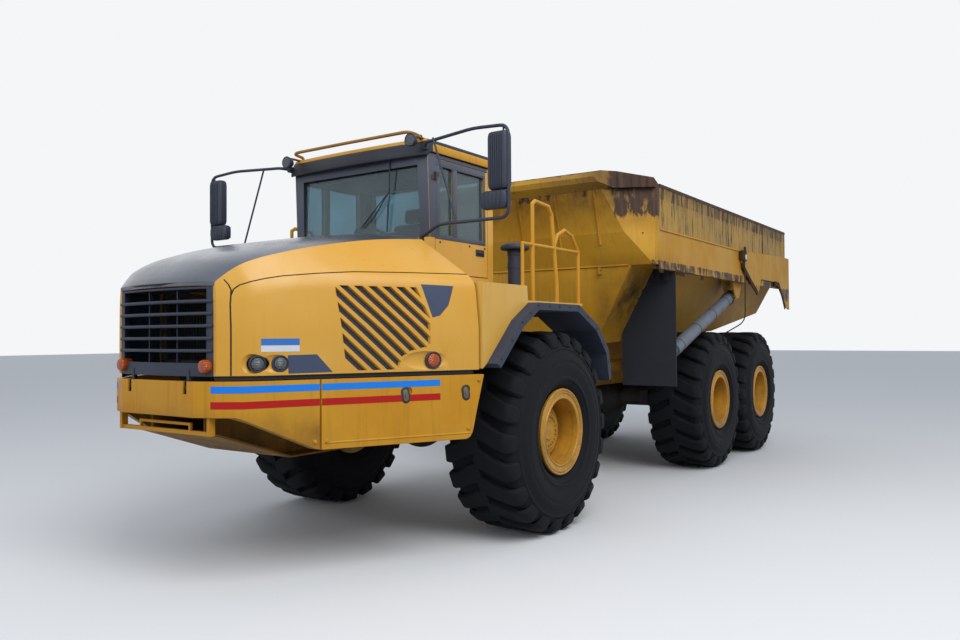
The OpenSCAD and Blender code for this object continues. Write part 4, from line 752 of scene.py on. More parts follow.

# Lamps of the hood: clear lenses in front, amber side lamps and round amber markers in the
# grille's frame. Lenses are moulded plastic with ribs on the inside.
def lens(name, colour, glow=0.25):
    """A moulded acrylic lens, ribbed inside, that lets a share of the light through."""
    material = bpy.data.materials.new(name)
    material.use_nodes = True
    tree = material.node_tree
    shader = tree.nodes["Principled BSDF"]
    place = add(tree, "ShaderNodeTexCoord", {}, {}).outputs["Object"]
    ribs = add(tree, "ShaderNodeTexWave", {"bands_direction": "Z"}, {"Vector": place, "Scale": 28.0})
    tone = add(tree, "ShaderNodeMapRange", {}, {"Value": ribs.outputs["Fac"], "To Min": 0.75})
    shade = add(tree, "ShaderNodeMix", {"data_type": "RGBA"}, {0: tone.outputs[0],
        6: tuple(c * 0.4 for c in linear(colour)[:3]) + (1,), 7: linear(colour)})
    tree.links.new(shade.outputs[2], shader.inputs["Base Color"])
    bump = add(tree, "ShaderNodeBump", {}, {"Height": ribs.outputs["Fac"], "Strength": 0.5,
        "Distance": 0.004})
    tree.links.new(bump.outputs[0], shader.inputs["Normal"])
    shader.inputs["Roughness"].default_value = 0.12
    shader.inputs["Transmission Weight"].default_value = glow
    shader.inputs["IOR"].default_value = 1.49
    return material

amber, clear = lens("amber_lens", "#C8550C"), lens("clear_lens", "#6E787C", glow=0.5)
for name, finish, rows in (("headlamp_lenses", clear, lamp_places[:2]),
        ("side_lamp_lenses", amber, lamp_places[2:])):
    shapes = []
    for x, y, yaw, radius in rows:
        points, sides = turned([(0.0, -0.030), (radius, -0.030), (radius, 0.002),
            (radius * 0.96, 0.010), (radius * 0.8, 0.016), (radius * 0.5, 0.0205), (0.0, 0.022)], 32)
        shapes.append(([tuple(at_lamp(x, y, yaw) @ Vector(p)) for p in points], sides))
    lenses = both_hands(piece_of(name, *joined(shapes), finish))
    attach(lenses, "hood")
    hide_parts("headlamps")
shapes = []
for x, y, yaw, radius in lamp_places:
    points, sides = turned([(radius + 0.002, -0.012), (radius + 0.016, -0.012), (radius + 0.016, 0.004),
        (radius + 0.009, 0.010), (radius + 0.002, 0.006)], 32)
    shapes.append(([tuple(at_lamp(x, y, yaw) @ Vector(p)) for p in points], sides))
bezels = both_hands(piece_of("lamp_bezels", *joined(shapes), finishes["black_plastic"]))
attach(bezels, "hood")
points, sides = turned([(0.0, 0.0), (0.049, 0.0), (0.049, 0.074), (0.044, 0.084), (0.030, 0.089),
    (0.0, 0.091)], 32)
markers = piece_of("grille_markers", points, sides, amber)
put(markers, [Matrix.Translation((front_x + 2.995, y, 1.622)) @ Matrix.Rotation(-math.pi / 2, 4, "Z")
    for y in (-0.5, 0.5)])
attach(markers, "hood")

# Grille fittings: rounded louvre slats on the bowed nose with two upright stays behind them,
# moulded in black plastic, and the radiator's core of brazed tubes and fins, which stands on the
# frame behind the hood.
nose_tip, nose_radius = 3.090, 2.550

def nose_point(y, out, z):
    """A point on the bowed nose, moved forward by some metres."""
    return (front_x + nose_tip - nose_radius + math.sqrt((nose_radius + out) ** 2 - y * y), y, z)

slat_section = [(-0.036, -0.009), (-0.004, -0.0125), (0.008, -0.0125), (0.0145, -0.009), (0.017, 0.0),
    (0.0145, 0.009), (0.008, 0.0125), (-0.004, 0.0125), (-0.036, 0.009)]
slat_count, grille_foot, grille_height = 5, 1.645, 0.527
slat_spots = [-0.552, -0.548] + [-0.53 + 1.06 * k / 24 for k in range(25)] + [0.548, 0.552]
shapes = []
for i in range(1, slat_count + 1):
    z = grille_foot + i * grille_height / (slat_count + 1)
    rings = []
    for y in slat_spots:
        share = 0.5 if abs(y) > 0.55 else 1
        rings.append([nose_point(y, out * share, z + up * share) for out, up in slat_section])
    shapes.append(lofted(rings))
for y in (-0.17, 0.17):
    shapes.append(lofted([[nose_point(y + dy, out, z) for dy, out in ((-0.005, -0.060), (0.005, -0.060),
        (0.005, -0.038), (-0.005, -0.038))] for z in (1.60, 2.18)]))
slats = piece_of("grille_slats", *joined(shapes), finishes["black_plastic"])
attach(slats, "hood")

def soft_block(low, high, radius, steps=3):
    """Points and faces of a box whose edges are rounded to a radius."""
    shape = bmesh.new()
    bmesh.ops.create_cube(shape, size=1)
    for v in shape.verts:
        v.co = [a + (b - a) * (c + 0.5) for a, b, c in zip(low, high, v.co)]
    bmesh.ops.bevel(shape, geom=shape.edges[:], offset=radius, segments=steps, affect="EDGES",
        profile=0.5)
    shape.verts.index_update()
    made = [tuple(v.co) for v in shape.verts], [tuple(v.index for v in f.verts) for f in shape.faces]
    shape.free()
    return made

core_x = front_x + 2.60
radiator_steel = grained("radiator_black_paint", "#1E2023", "#4A4540", 0.6, 4, 0.1, 0.6)
frame_bars = [soft_block((core_x - 0.045, -0.56, z), (core_x + 0.075, 0.56, z + 0.05), 0.008)
    for z in (1.60, 2.09)]
frame_bars += [soft_block((core_x - 0.045, y - 0.025, 1.60), (core_x + 0.075, y + 0.025, 2.14), 0.008)
    for y in (-0.535, 0.535)]
fin_count, fin_pitch = 42, 0.011
fins = [([(x, y, z) for x in (core_x - 0.02, core_x + 0.05) for y in (-0.52, 0.52)
    for z in (1.64 + fin_pitch * i, 1.6418 + fin_pitch * i)],
    [(0, 1, 3, 2), (4, 6, 7, 5), (0, 4, 5, 1), (2, 3, 7, 6), (0, 2, 6, 4), (1, 5, 7, 3)])
    for i in range(fin_count)]
radiator = piece_of("radiator_core", *joined(frame_bars + fins), radiator_steel)
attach(radiator, "tractor")
tube = piece_of("radiator_tubes", *soft_block((core_x - 0.01, -0.505, 1.64),
    (core_x + 0.035, -0.497, 2.10), 0.0035, 2), radiator_steel)
tube_count, core_width = 28, 1.002
repeated(tube, row_of_copies, tube_count, (0, core_width / (tube_count - 1), 0))
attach(tube, "tractor")

# Skirt trim: two stripes of coloured vinyl film, glossy and even, from the nose's corner to the
# middle of each lower panel, and the panels' flush latches, whose levers lie in dark pressed cups.
# The skirt's outer face from above, ahead of the front axle: x, y
skirt = [(3.101, 0.430), (3.041, 0.600), (2.930, 0.760), (2.350, 1.030), (1.180, 1.600)]

def on_skirt(x, z, out=0.0):
    """The point of the left skirt at a place seen from the side, moved outwards by some metres."""
    for (x0, y0), (x1, y1) in zip(skirt, skirt[1:]):
        if x >= x1:
            break
    length = math.hypot(x1 - x0, y1 - y0)
    return Vector((front_x + x + (y1 - y0) / length * out, y0 + (y1 - y0) * (x - x0) / (x1 - x0)
        + (x0 - x1) / length * out, z))

film_blue_stripe, film_red_stripe = (grained(name, colour, dusty, 0.4, 5, 0.03, 0.15, gloss=0.3)
    for name, colour, dusty in (("blue_stripe_film", "#1482EA", "#4A86B4"),
    ("red_stripe_film", "#B4100A", "#8A3A22")))
for name, low, high, film in (("blue_stripes", 1.434, 1.484, film_blue_stripe),
        ("red_stripes", 1.324, 1.375, film_red_stripe)):
    strips = []
    for x0, x1 in ((3.054, 2.4275), (2.4125, 1.540)):
        corners = [x for x, y in skirt if x1 < x < x0]
        spots = [x0] + [x for c in corners for x in (c + 0.0008, c - 0.0008)] + [x1]
        strips.append(lofted([[on_skirt(x, z, out) for z, out in ((low, -0.001), (low, 0.0012),
            (high, 0.0012), (high, -0.001))] for x in spots]))
    stripes = both_hands(piece_of(name, *joined(strips), film))
    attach(stripes, "tractor")

def pill(width, height, low, high, edge):
    """A capsule plate with a rounded edge, standing in X and Z, with its face towards +Y."""
    r, steps = width / 2, 8
    rings = []
    for inset, out in ((0.0, low), (0.0, high - edge), (edge * 0.3, high - edge * 0.3), (edge, high)):
        ring = []
        for end in (1, -1):
            for k in range(steps + 1):
                a = math.pi * k / steps + (0 if end > 0 else math.pi)
                ring.append(((r - inset) * math.cos(a), out, end * (height / 2 - r)
                    + (r - inset) * math.sin(a)))
        rings.append(ring)
    return lofted(rings)

latch_z, panel_yaw = 1.371, math.radians(-26)
cup_steel = grained("dark_latch_cup", "#1C1A16", "#3B3222", 0.5, 4, 0.1, 0.5)
lever_zinc = grained("zinc_latch_lever", "#6E675A", "#5A4E38", 0.4, 4, 0.1, 0.5, metal=0.6)
for name, shape, finish in (("latch_cups", pill(0.074, 0.128, -0.004, 0.003, 0.003), cup_steel),
        ("latch_levers", joined([pill(0.046, 0.094, -0.002, 0.011, 0.006),
            pill(0.020, 0.040, 0.004, 0.019, 0.004)]), lever_zinc)):
    latches = piece_of(name, *shape, finish)
    put(latches, [Matrix.Translation(on_skirt(x, latch_z)) @ Matrix.Rotation(panel_yaw, 4, "Z")
        @ Matrix.Rotation(math.radians(8), 4, "Y") for x in (1.810, 1.335)])
    both_hands(latches)
    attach(latches, "tractor")

# Bolts of the lower panels: hexagon steel heads on washers, sprayed with the panels. Each panel is
# held by two at its rear edge and two behind the nose's corner.
bolt_head = joined([turned([(0.0, 0.0), (0.018, 0.0), (0.018, 0.003), (0.0, 0.003)], 20),
    lofted([[(r * math.cos(a), y, r * math.sin(a)) for a in hexagon]
    for r, y in ((0.012, 0.002), (0.012, 0.010), (0.010, 0.012))])])
skirt_bolts = piece_of("skirt_bolts", *bolt_head, finishes["yellow_paint"])
put(skirt_bolts, [Matrix.Translation(on_skirt(x, z)) @ Matrix.Rotation(math.radians(yaw), 4, "Z")
    for x, z, yaw in ((1.225, 1.470, -26), (1.315, 1.085, -26), (2.380, 1.060, -26),
        (2.460, 1.060, -25))])
both_hands(skirt_bolts)
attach(skirt_bolts, "tractor")

# Lower panels: pressed sheet with a fold along the foot; the rear edge leans back to the wheel and
# ends in a rounded corner.
made = bmesh.new()
made.from_mesh(frame["nodes"]["lower_panels"].data)
bmesh.ops.remove_doubles(made, verts=made.verts, dist=1e-5)
made.verts.index_update()
sheets = [tuple(v.co) for v in made.verts], [tuple(v.index for v in f.verts) for f in made.faces]
made.free()
# what is cut away behind the leaning edge, seen from the side: x, z
lean = [(1.150, 1.540), (1.181, 1.540), (1.184, 1.500), (1.236, 1.260), (1.268, 1.100), (1.280, 1.050),
    (1.298, 1.018), (1.325, 1.001), (1.360, 0.990), (1.150, 0.990)]
cutter = piece_of("lean", *joined([lofted([[(front_x + x, side * y, z) for x, z in lean]
    for y in (1.2, 1.8)]) for side in (1, -1)]), finishes["yellow_paint"])
panels = cut_by(piece_of("lower_side_panels", *sheets, finishes["yellow_paint"]), cutter)
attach(panels, "tractor")
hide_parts("lower_panels")
fold_section = ((1.041, -0.001), (1.044, 0.0032), (1.048, 0.0032), (1.060, -0.001))
fold = both_hands(piece_of("panel_folds", *lofted([[on_skirt(x, z, out) for z, out in fold_section]
    for x in (2.405, 2.3505, 2.3495, 1.800, 1.300)]), finishes["yellow_paint"]))
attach(fold, "tractor")

# Cab trim: dark painted covers round the door's panes and the windscreen, black rubber seals,
# and a grey moulded lining inside the steel shell.
surround_paint = enamel("window_surround_paint", "#3A4050", "#4A5162", dust=0.15, streaks=0.05,
    chips=0.1, rough=0.34, dust_top=3.2)

# The covers' inner and outer faces and foot, the foot and top of their panes, and those of the
# bars between the panes
cover_in, cover_out, cover_foot = 0.8485, 0.8540, 2.712
pane_foot, pane_top, bar_foot, bar_top = 2.756, 3.376, 2.75, 3.38

def boxes(rows, radius=0.0012):
    """Several blocks, each from its low corner to its high corner, with slightly rounded edges."""
    return joined([soft_block((front_x + a, b, c), (front_x + d, e, f), radius, 2)
        for a, b, c, d, e, f in rows])

def window_frame(x0, x1, top, panes):
    """Bars of a cover on the cab's left side, round panes that each run from one x to another."""
    rows = [(x0, cover_in, cover_foot, x1, cover_out, pane_foot),
        (x0, cover_in, pane_top, x1, cover_out, top)]
    edges = [x0] + [e for pane in panes for e in pane] + [x1]
    return boxes(rows + [(edges[i], cover_in, bar_foot, edges[i + 1], cover_out, bar_top)
        for i in range(0, len(edges), 2)])

door_cover = piece_of("door_window_cover", *window_frame(0.048, 0.8497, 3.437,
    ((0.082, 0.518), (0.588, 0.788))), surround_paint)
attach(door_cover, "cab_door")

right_cover = piece_of("right_window_cover", *window_frame(0.020, 0.868, 3.479,
    ((0.072, 0.518), (0.592, 0.838))), surround_paint)
put(right_cover, [Matrix.Scale(-1, 4, (0, 1, 0))])
rail_cover = piece_of("roof_rail_cover", *boxes([(0.020, cover_in, 3.443, 0.868, cover_out, 3.479)]),
    surround_paint)

def screen_x(z):
    """The cab's sloping front face over the hood, as x from the front axle."""
    return 0.930 + 0.030 * (z - 2.72) / 0.76

def screen_edge(z):
    """Half the width of the windscreen's opening at a height."""
    return 0.760 - 0.020 * (z - 2.76) / 0.64

door_gap_x, cover_lap = 0.8502, 0.008
corner_rings = []
for z, inset in ((2.722, 0.0015), (2.728, 0), (3.474, 0), (3.480, 0.0015)):
    x, inner = front_x + screen_x(z), screen_edge(z) - cover_lap
    corner_rings.append([(front_x + door_gap_x, 0.847, z), (front_x + door_gap_x, 0.855 - inset, z),
        (x - 0.008, 0.855 - inset, z), (x + 0.004 - inset, 0.845, z), (x + 0.005 - inset, 0.815, z),
        (x + 0.005 - inset, inner, z), (x - 0.001, inner, z), (x - 0.003, 0.845, z)])
corners = both_hands(piece_of("windscreen_pillar_covers", *lofted(corner_rings), surround_paint))
bands = piece_of("windscreen_bands",
    *joined([lofted([[(front_x + screen_x(z) + out, side * (screen_edge(z) - cover_lap), z)
    for z, out in ((low, -0.001), (low + 0.002, 0.005), (high - 0.002, 0.005), (high, -0.001))]
    for side in (-1, 1)]) for low, high in ((2.722, 2.790), (3.375, 3.480))]), surround_paint)
for cover in (right_cover, rail_cover, corners, bands):
    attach(cover, "tractor")

# Panels of the lining, each from its low corner to its high corner: x from the front axle, y, z
lining = grained("grey_moulded_lining", "#4A4D50", "#5E5A52", 0.8, 3, 0.15, 0.3)
inside = [(-0.028, -0.805, 1.93, -0.020, 0.805, 2.79), (-0.028, -0.805, 3.39, -0.020, 0.805, 3.42),
    (-0.028, -0.80, 2.78, -0.020, -0.705, 3.40), (-0.028, 0.705, 2.78, -0.020, 0.80, 3.40),
    (-0.022, -0.80, 3.415, 0.890, 0.80, 3.424), (-0.022, -0.796, 1.922, 1.04, 0.70, 1.930),
    (-0.022, -0.800, 1.93, 0.86, -0.792, 2.735), (0.20, 0.30, 3.34, 0.84, 0.62, 3.417),
    (0.24, -0.62, 3.34, 0.86, 0.16, 3.417)]
cab_lining = piece_of("cab_lining", *boxes(inside, 0.003), lining)
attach(cab_lining, "tractor")

# The rear window's seal: its foot, top and two sides, given in the same way
rubber = [(-0.0935, -0.725, 2.775, -0.088, 0.725, 2.805), (-0.0935, -0.725, 3.375, -0.088, 0.725,
    3.405), (-0.0935, -0.725, 2.775, -0.088, -0.695, 3.405), (-0.0935, 0.695, 2.775, -0.088, 0.725,
    3.405)]
screen_strips = [lofted([[(front_x + x, side * y, z) for x, y in ((0.9175, screen_edge(z) - 0.0004),
    (0.9175, screen_edge(z) - 0.012), (screen_x(z) - 0.002, screen_edge(z) - 0.009),
    (screen_x(z) - 0.002, screen_edge(z) - 0.0004))] for z in (2.764, 3.396)]) for side in (1, -1)]
screen_seal = piece_of("windscreen_seal",
    *joined(screen_strips + [boxes([(0.9175, -0.738, 2.7604, 0.928, 0.738, 2.772),
    (0.9175, -0.738, 3.388, 0.950, 0.738, 3.3996)], 0.002)]), finishes["black_rubber"])
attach(screen_seal, "tractor")
rear_seal = piece_of("rear_window_seal", *boxes(rubber, 0.002), finishes["black_rubber"])
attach(rear_seal, "tractor")

# Tubes and hoses: round steel stock or rubber hose, bent at its corners. The sections below use
# this for rails, arms, wires and lines.
def pipe(points, radius, bend=0.05, sides=12):
    """Points and faces of a round tube along a path whose corners are bent to a radius."""
    path = [Vector(points[0])]
    for a, b, c in zip(points, points[1:], points[2:]):
        a, b, c = Vector(a), Vector(b), Vector(c)
        reach = min(bend, (b - a).length * 0.45, (c - b).length * 0.45)
        start, end = b + (a - b).normalized() * reach, b + (c - b).normalized() * reach
        path += [start.lerp(b, t).lerp(b.lerp(end, t), t) for t in (0, 0.2, 0.4, 0.6, 0.8, 1)]
    path.append(Vector(points[-1]))
    rings, up = [], None
    for i, p in enumerate(path):
        way = (path[min(i + 1, len(path) - 1)] - path[max(i - 1, 0)]).normalized()
        up = up or way.orthogonal().normalized()
        up = (up - way * up.dot(way)).normalized()
        side = way.cross(up)
        rings.append([tuple(p + (up * math.cos(a) + side * math.sin(a)) * radius)
            for a in (2 * math.pi * k / sides for k in range(sides))])
    return lofted(rings)

def at_front(points):
    """Points given from the front axle, in the row frame."""
    return [(front_x + x, y, z) for x, y, z in points]

# Roof: a moulding sprayed matt black, whose visor dips over the windscreen, between two yellow side
# strips of pressed steel. A yellow strip also shows along its front edge.
# The moulding's outline seen from the side, from the rear foot forwards: x, z
roof_profile = [(-0.110, 3.484), (0.940, 3.484), (0.985, 3.480), (1.022, 3.456), (1.040, 3.442),
    (1.051, 3.446), (1.055, 3.462), (1.046, 3.500), (1.024, 3.548), (0.996, 3.584), (0.960, 3.598),
    (0.700, 3.600), (0.020, 3.600), (-0.060, 3.590), (-0.098, 3.566), (-0.110, 3.530)]
roof_foot, roof_middle = 3.484, 0.45

def roof_bow(y):
    """How far the roof's front edge falls back at a distance from the middle."""
    return 0.045 * (y / 0.87) ** 2

roof_ends = [(0.870, 0.030), (0.868, 0.016), (0.860, 0.006), (0.845, 0.0)]
rings = []
for y, inset in ([(-y, inset) for y, inset in roof_ends] + [(-0.8 + 0.1 * i, 0) for i in range(17)]
        + roof_ends[::-1]):
    ring = []
    for x, z in roof_profile:
        x -= roof_bow(y) * max(0.0, (x - 0.85) / 0.2)
        if z > roof_foot:
            z = roof_foot + (z - roof_foot) * (1 - inset * 6)
        ring.append((front_x + roof_middle + (x - roof_middle) * (1 - inset * 0.9), y, z))
    rings.append(ring)
visor_paint = enamel("roof_visor_paint", "#1C2028", "#2A303A", dust=0.2, streaks=0.0, chips=0.0,
    rough=0.42, dust_top=4.0, coat=0.0, gloss=0.35)
roof = piece_of("roof_moulding", *lofted(rings), visor_paint, smooth=40)
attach(roof, "tractor")
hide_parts("cab_roof")
strip_section = [(0.838, 3.486), (0.874, 3.486), (0.8775, 3.494), (0.8775, 3.545), (0.870, 3.562),
    (0.852, 3.572), (0.838, 3.574)]
rings = [[(front_x + x, 0.855 + (y - 0.855) * share, 3.53 + (z - 3.53) * share)
    for y, z in strip_section] for x, share in ((-0.112, 0.7), (-0.106, 1.0), (0.30, 1.0), (0.60, 1.0),
    (0.895, 1.0), (0.905, 0.7))]
brow_steps, brow = 18, []
for i in range(brow_steps + 1):
    y = -0.846 + 0.094 * i
    bow, share = roof_bow(y) * 0.8, 0.6 if i in (0, brow_steps) else 1
    brow.append([(front_x + 0.990 - bow + (x - 0.990) * share, y, 3.596 + (z - 3.596) * share)
        for x, z in ((0.960, 3.592), (1.000, 3.566), (1.006, 3.572), (1.002, 3.596), (0.994, 3.606),
        (0.962, 3.606))])
roof_strips = both_hands(piece_of("roof_side_strips", *lofted(rings), finishes["yellow_paint"]))
roof_brow = piece_of("roof_front_strip", *lofted(brow), hood_enamel)
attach(roof_brow, "tractor")
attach(roof_strips, "tractor")

# Roof lamps: a tube rail over the front of the roof, browned by weather, with a work lamp on a
# bracket at each end and a short beacon socket.
rail_paint = enamel("weathered_rail_paint", "#A8731C", "#8C6428", dust=0.3, streaks=0.4, chips=0.9,
    dust_top=4.0, edge=4)
rail_tube = pipe(at_front([(0.90, -0.80, 3.598), (0.90, -0.80, 3.645), (1.02, -0.79, 3.657),
    (1.058, -0.72, 3.660), (1.060, 0.0, 3.662), (1.058, 0.70, 3.660), (0.96, 0.72, 3.655),
    (0.90, 0.72, 3.640), (0.90, 0.72, 3.598)]), 0.0155, 0.06)
lamp_brackets = [soft_block((front_x + x0, y - 0.024, z0), (front_x + x1, y + 0.024, z1), 0.004)
    for x0, z0, x1, z1 in ((0.91, 3.600, 1.088, 3.612), (1.075, 3.545, 1.087, 3.611))
    for y in (-0.79, 0.79)]
rail = piece_of("roof_rail", *joined([rail_tube] + lamp_brackets), rail_paint)
bowl = [(0.0, 0.0), (0.022, 0.0), (0.034, 0.006), (0.047, 0.024), (0.055, 0.046), (0.058, 0.062),
    (0.0595, 0.070), (0.0595, 0.078), (0.054, 0.080), (0.052, 0.074), (0.0, 0.070)]
housings = piece_of("roof_lamp_housings", *turned(bowl, 28), finishes["black_plastic"])
facings = [Matrix.Translation((front_x + 1.060, y, 3.560)) @ Matrix.Rotation(-math.pi / 2, 4, "Z")
    for y in (-0.79, 0.79)]
put(housings, facings)
lamp_glasses = piece_of("roof_lamp_lenses",
    *turned([(0.0, 0.070), (0.0525, 0.072), (0.050, 0.077), (0.03, 0.0795), (0.0, 0.080)], 28), clear)
put(lamp_glasses, facings)
beacon = piece_of("beacon_socket", *turned([(0.0, 0.0), (0.052, 0.0), (0.052, 0.008), (0.040, 0.014),
    (0.040, 0.060), (0.046, 0.066), (0.046, 0.076), (0.040, 0.081), (0.0, 0.081)], 24),
    finishes["black_plastic"])
put(beacon, [Matrix.Translation((front_x + 0.84, 0.64, 3.599)) @ Matrix.Rotation(math.pi / 2, 4, "X")])
for part, name in ((rail, "black_plastic"), (housings, "black_plastic"), (lamp_glasses, "lamp_glass"),
        (beacon, "black_plastic")):
    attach(part, "tractor")
    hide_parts("roof_lights")

# Mirrors: ribbed plastic heads with silvered glass, on bent tube frames that are bolted to the
# cab's front corners and stand out past the body's sides.
arm = pipe(at_front([(1.015, 0.872, 3.515), (1.085, 0.930, 3.527), (1.180, 1.50, 3.545),
    (1.200, 1.860, 3.520), (1.200, 1.860, 2.775), (1.200, 1.160, 2.775), (1.060, 0.858, 2.700)]),
    0.0145, 0.085)
stay = pipe(at_front([(1.170, 1.075, 3.530), (1.198, 1.340, 2.782)]), 0.009)
feet = [soft_block((front_x + 0.985, 0.850, 3.486), (front_x + 1.040, 0.885, 3.545), 0.006),
    soft_block((front_x + 1.035, 0.852, 2.650), (front_x + 1.085, 0.872, 2.745), 0.006)]
mirror_frames = both_hands(piece_of("mirror_frames", *joined([arm, stay] + feet),
    finishes["black_plastic"]))

def ribbed_head(middle, half, low, high, ribs):
    """A mirror's back: a rounded shell with upright ribs on its front and a flat face behind."""
    plan = []
    for k in range(7):
        a = -math.pi / 2 + math.pi / 2 * k / 6
        plan.append((half[0] - 0.03 + 0.03 * math.cos(a), -half[1] + 0.03 + 0.03 * math.sin(a)))
    span = half[1] - 0.03
    for k in range(ribs):
        y = -span + 2 * span * (k + 0.5) / ribs
        step = span / ribs
        plan += [(half[0], y - step * 0.55), (half[0] - 0.007, y - step * 0.35),
            (half[0] - 0.007, y + step * 0.35), (half[0], y + step * 0.55)]
    for k in range(7):
        a = math.pi / 2 * k / 6
        plan.append((half[0] - 0.03 + 0.03 * math.cos(a), span + 0.03 * math.sin(a)))
    plan += [(-half[0] + 0.010, half[1]), (-half[0], half[1] - 0.010), (-half[0], -half[1] + 0.010),
        (-half[0] + 0.010, -half[1])]
    rings = []
    for share, z in ((0.55, low), (0.80, low + 0.007), (0.93, low + 0.022), (1.0, low + 0.050),
            (1.0, high - 0.050), (0.93, high - 0.022), (0.80, high - 0.007), (0.55, high)):
        rings.append([(front_x + middle[0] + x * share, middle[1] + y * (0.4 + 0.6 * share), z)
            for x, y in plan])
    return lofted(rings)

heads = both_hands(piece_of("mirror_heads",
    *joined([ribbed_head((1.196, 1.768), (0.048, 0.092), 3.005, 3.475, 6),
    ribbed_head((1.198, 1.728), (0.044, 0.126), 2.850, 3.000, 5),
    pipe(at_front([(1.200, 1.815, 3.47), (1.200, 1.815, 3.53)]), 0.008),
    pipe(at_front([(1.200, 1.80, 2.995), (1.200, 1.80, 3.015)]), 0.020)]), finishes["black_plastic"]))
silvered = grained("silvered_mirror_glass", "#C4CCD2", "#8C8C86", 0.04, 30, 0.01, 0.25, metal=1.0)
panes = both_hands(piece_of("mirror_panes",
    *joined([soft_block((front_x + 1.146, 1.692, 3.035), (front_x + 1.150, 1.844, 3.445), 0.0018, 2),
    soft_block((front_x + 1.152, 1.614, 2.868), (front_x + 1.1565, 1.842, 2.982), 0.0018, 2)]),
    silvered))
for part, name in ((mirror_frames, "black_plastic"), (heads, "black_plastic"), (panes, "bright_steel")):
    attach(part, "tractor")
    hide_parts("mirrors")

# Wipers: driven arms of black steel rod, their guide rod and rubber blades, which hang from one
# pivot over the windscreen and are parked in a fan.
wiper_pivot = (0.953, 0.397, 3.175)
wiper_bars = [pipe(at_front([(0.972, 0.416, 3.474), (0.964, 0.405, 3.300), wiper_pivot,
    (0.944, 0.152, 2.900)]), 0.0065, 0.03), pipe(at_front([wiper_pivot, (0.945, 0.072, 2.900)]), 0.005),
    pipe(at_front([wiper_pivot, (0.942, 0.361, 2.850)]), 0.0055)]
blades = [pipe(at_front([(screen_x(z) + 0.0035, y, z) for y, z in line]), 0.0075, 0.01)
    for line in (((0.030, 2.862), (0.190, 2.998)), ((0.350, 2.800), (0.372, 3.060)))]
wipers = piece_of("wipers", *joined(wiper_bars + blades), finishes["black_plastic"])
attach(wipers, "tractor")

# Door fittings: a moulded pull handle on a plate at the door's rear edge, and black bolt heads that
# hold the window cover and the lock.
handle = piece_of("door_handle",
    *joined([soft_block((front_x + 0.075, 0.850, 2.600), (front_x + 0.215, 0.857, 2.665), 0.003),
    pipe(at_front([(0.095, 0.855, 2.632), (0.098, 0.868, 2.632), (0.190, 0.868, 2.632),
    (0.195, 0.855, 2.632)]), 0.007, 0.012)]), finishes["black_plastic"])
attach(handle, "cab_door")
cab_bolts = piece_of("cab_bolts", *bolt_head, finishes["black_plastic"])
put(cab_bolts, [Matrix.Translation((front_x + x, 0.850, z)) @ Matrix.Scale(0.62, 4)
    for x, z in ((0.316, 2.684), (0.592, 2.404), (0.060, 2.684), (0.780, 2.684))])
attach(cab_bolts, "cab_door")

# Seat: a sprung base under a rubber bellows, with a foam cushion, back, headrest and arm rests
# that are covered in dark woven cloth.
bellows = []
for k in range(9):
    z = 1.935 + 0.33 * k / 8
    out = 0.165 if k % 2 == 0 else 0.180
    bellows.append([(front_x + 0.35 + out * 0.95 * x, out * y, z) for x, y in ((-1, -0.9), (-0.9, -1),
        (0.9, -1), (1, -0.9), (1, 0.9), (0.9, 1), (-0.9, 1), (-1, 0.9))])
base = piece_of("seat_base", *lofted(bellows), finishes["black_rubber"])
cushion = soft_block((front_x + 0.12, -0.25, 2.262), (front_x + 0.62, 0.25, 2.435), 0.055, 4)
leaning = []
for (x0, y0, z0), (x1, y1, z1), radius in (((0.110, -0.235, 2.42), (0.225, 0.235, 2.99), 0.05),
        ((0.112, -0.125, 3.00), (0.205, 0.125, 3.155), 0.04)):
    points, sides = soft_block((front_x + x0, y0, z0), (front_x + x1, y1, z1), radius, 4)
    leaning.append(([(x - 0.13 * (z - 2.42) + 0.03 * (y / 0.235) ** 2, y, z) for x, y, z in points],
        sides))
rests = [soft_block((front_x + 0.15, y - 0.035, 2.60), (front_x + 0.46, y + 0.035, 2.655), 0.02, 3)
    for y in (-0.29, 0.29)]
pads = piece_of("seat_pads", *joined([cushion] + leaning + rests), finishes["seat_fabric"])
for part, name in ((base, "black_rubber"), (pads, "seat_fabric")):
    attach(part, "tractor")
    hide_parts("seat")

# Air intake behind the cab: a moulded cap of louvred rings on a rubber sleeve and a steel pipe,
# which is clamped to the platform. Both outlines give radius and height.
cap = [(0.0, 0.070), (0.060, 0.069), (0.110, 0.060), (0.140, 0.044), (0.150, 0.024), (0.148, 0.008),
    (0.140, 0.0), (0.120, 0.002), (0.112, 0.016), (0.104, 0.004), (0.092, 0.004), (0.084, 0.018),
    (0.0, 0.018)]
stack = [(0.0, -0.70), (0.074, -0.70), (0.074, -0.190), (0.078, -0.186), (0.078, -0.130),
    (0.074, -0.126), (0.074, -0.060), (0.080, -0.056), (0.080, -0.012), (0.072, 0.010), (0.070, 0.020),
    (0.0, 0.020)]
upright = Matrix.Translation((front_x - 0.26, 1.0, 2.690)) @ Matrix.Rotation(math.pi / 2, 4, "X")
intake = piece_of("intake_mushroom",
    *joined([turned(cap, 40), turned([(r, max(y, 2.035 - 2.690)) for r, y in stack], 28)]),
    finishes["black_plastic"])
put(intake, [upright])
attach(intake, "tractor")
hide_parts("intake_cap")

# Dump body: welded wear steel, sprayed a deeper yellow. The paint is torn off along the lower rim,
# at the top corners of the front wall and along the boards, and the steel has rusted there. The
# frame under it is the same paint, darkened by oil, and the hoist barrels are grey.
both_sides = (1, -1)
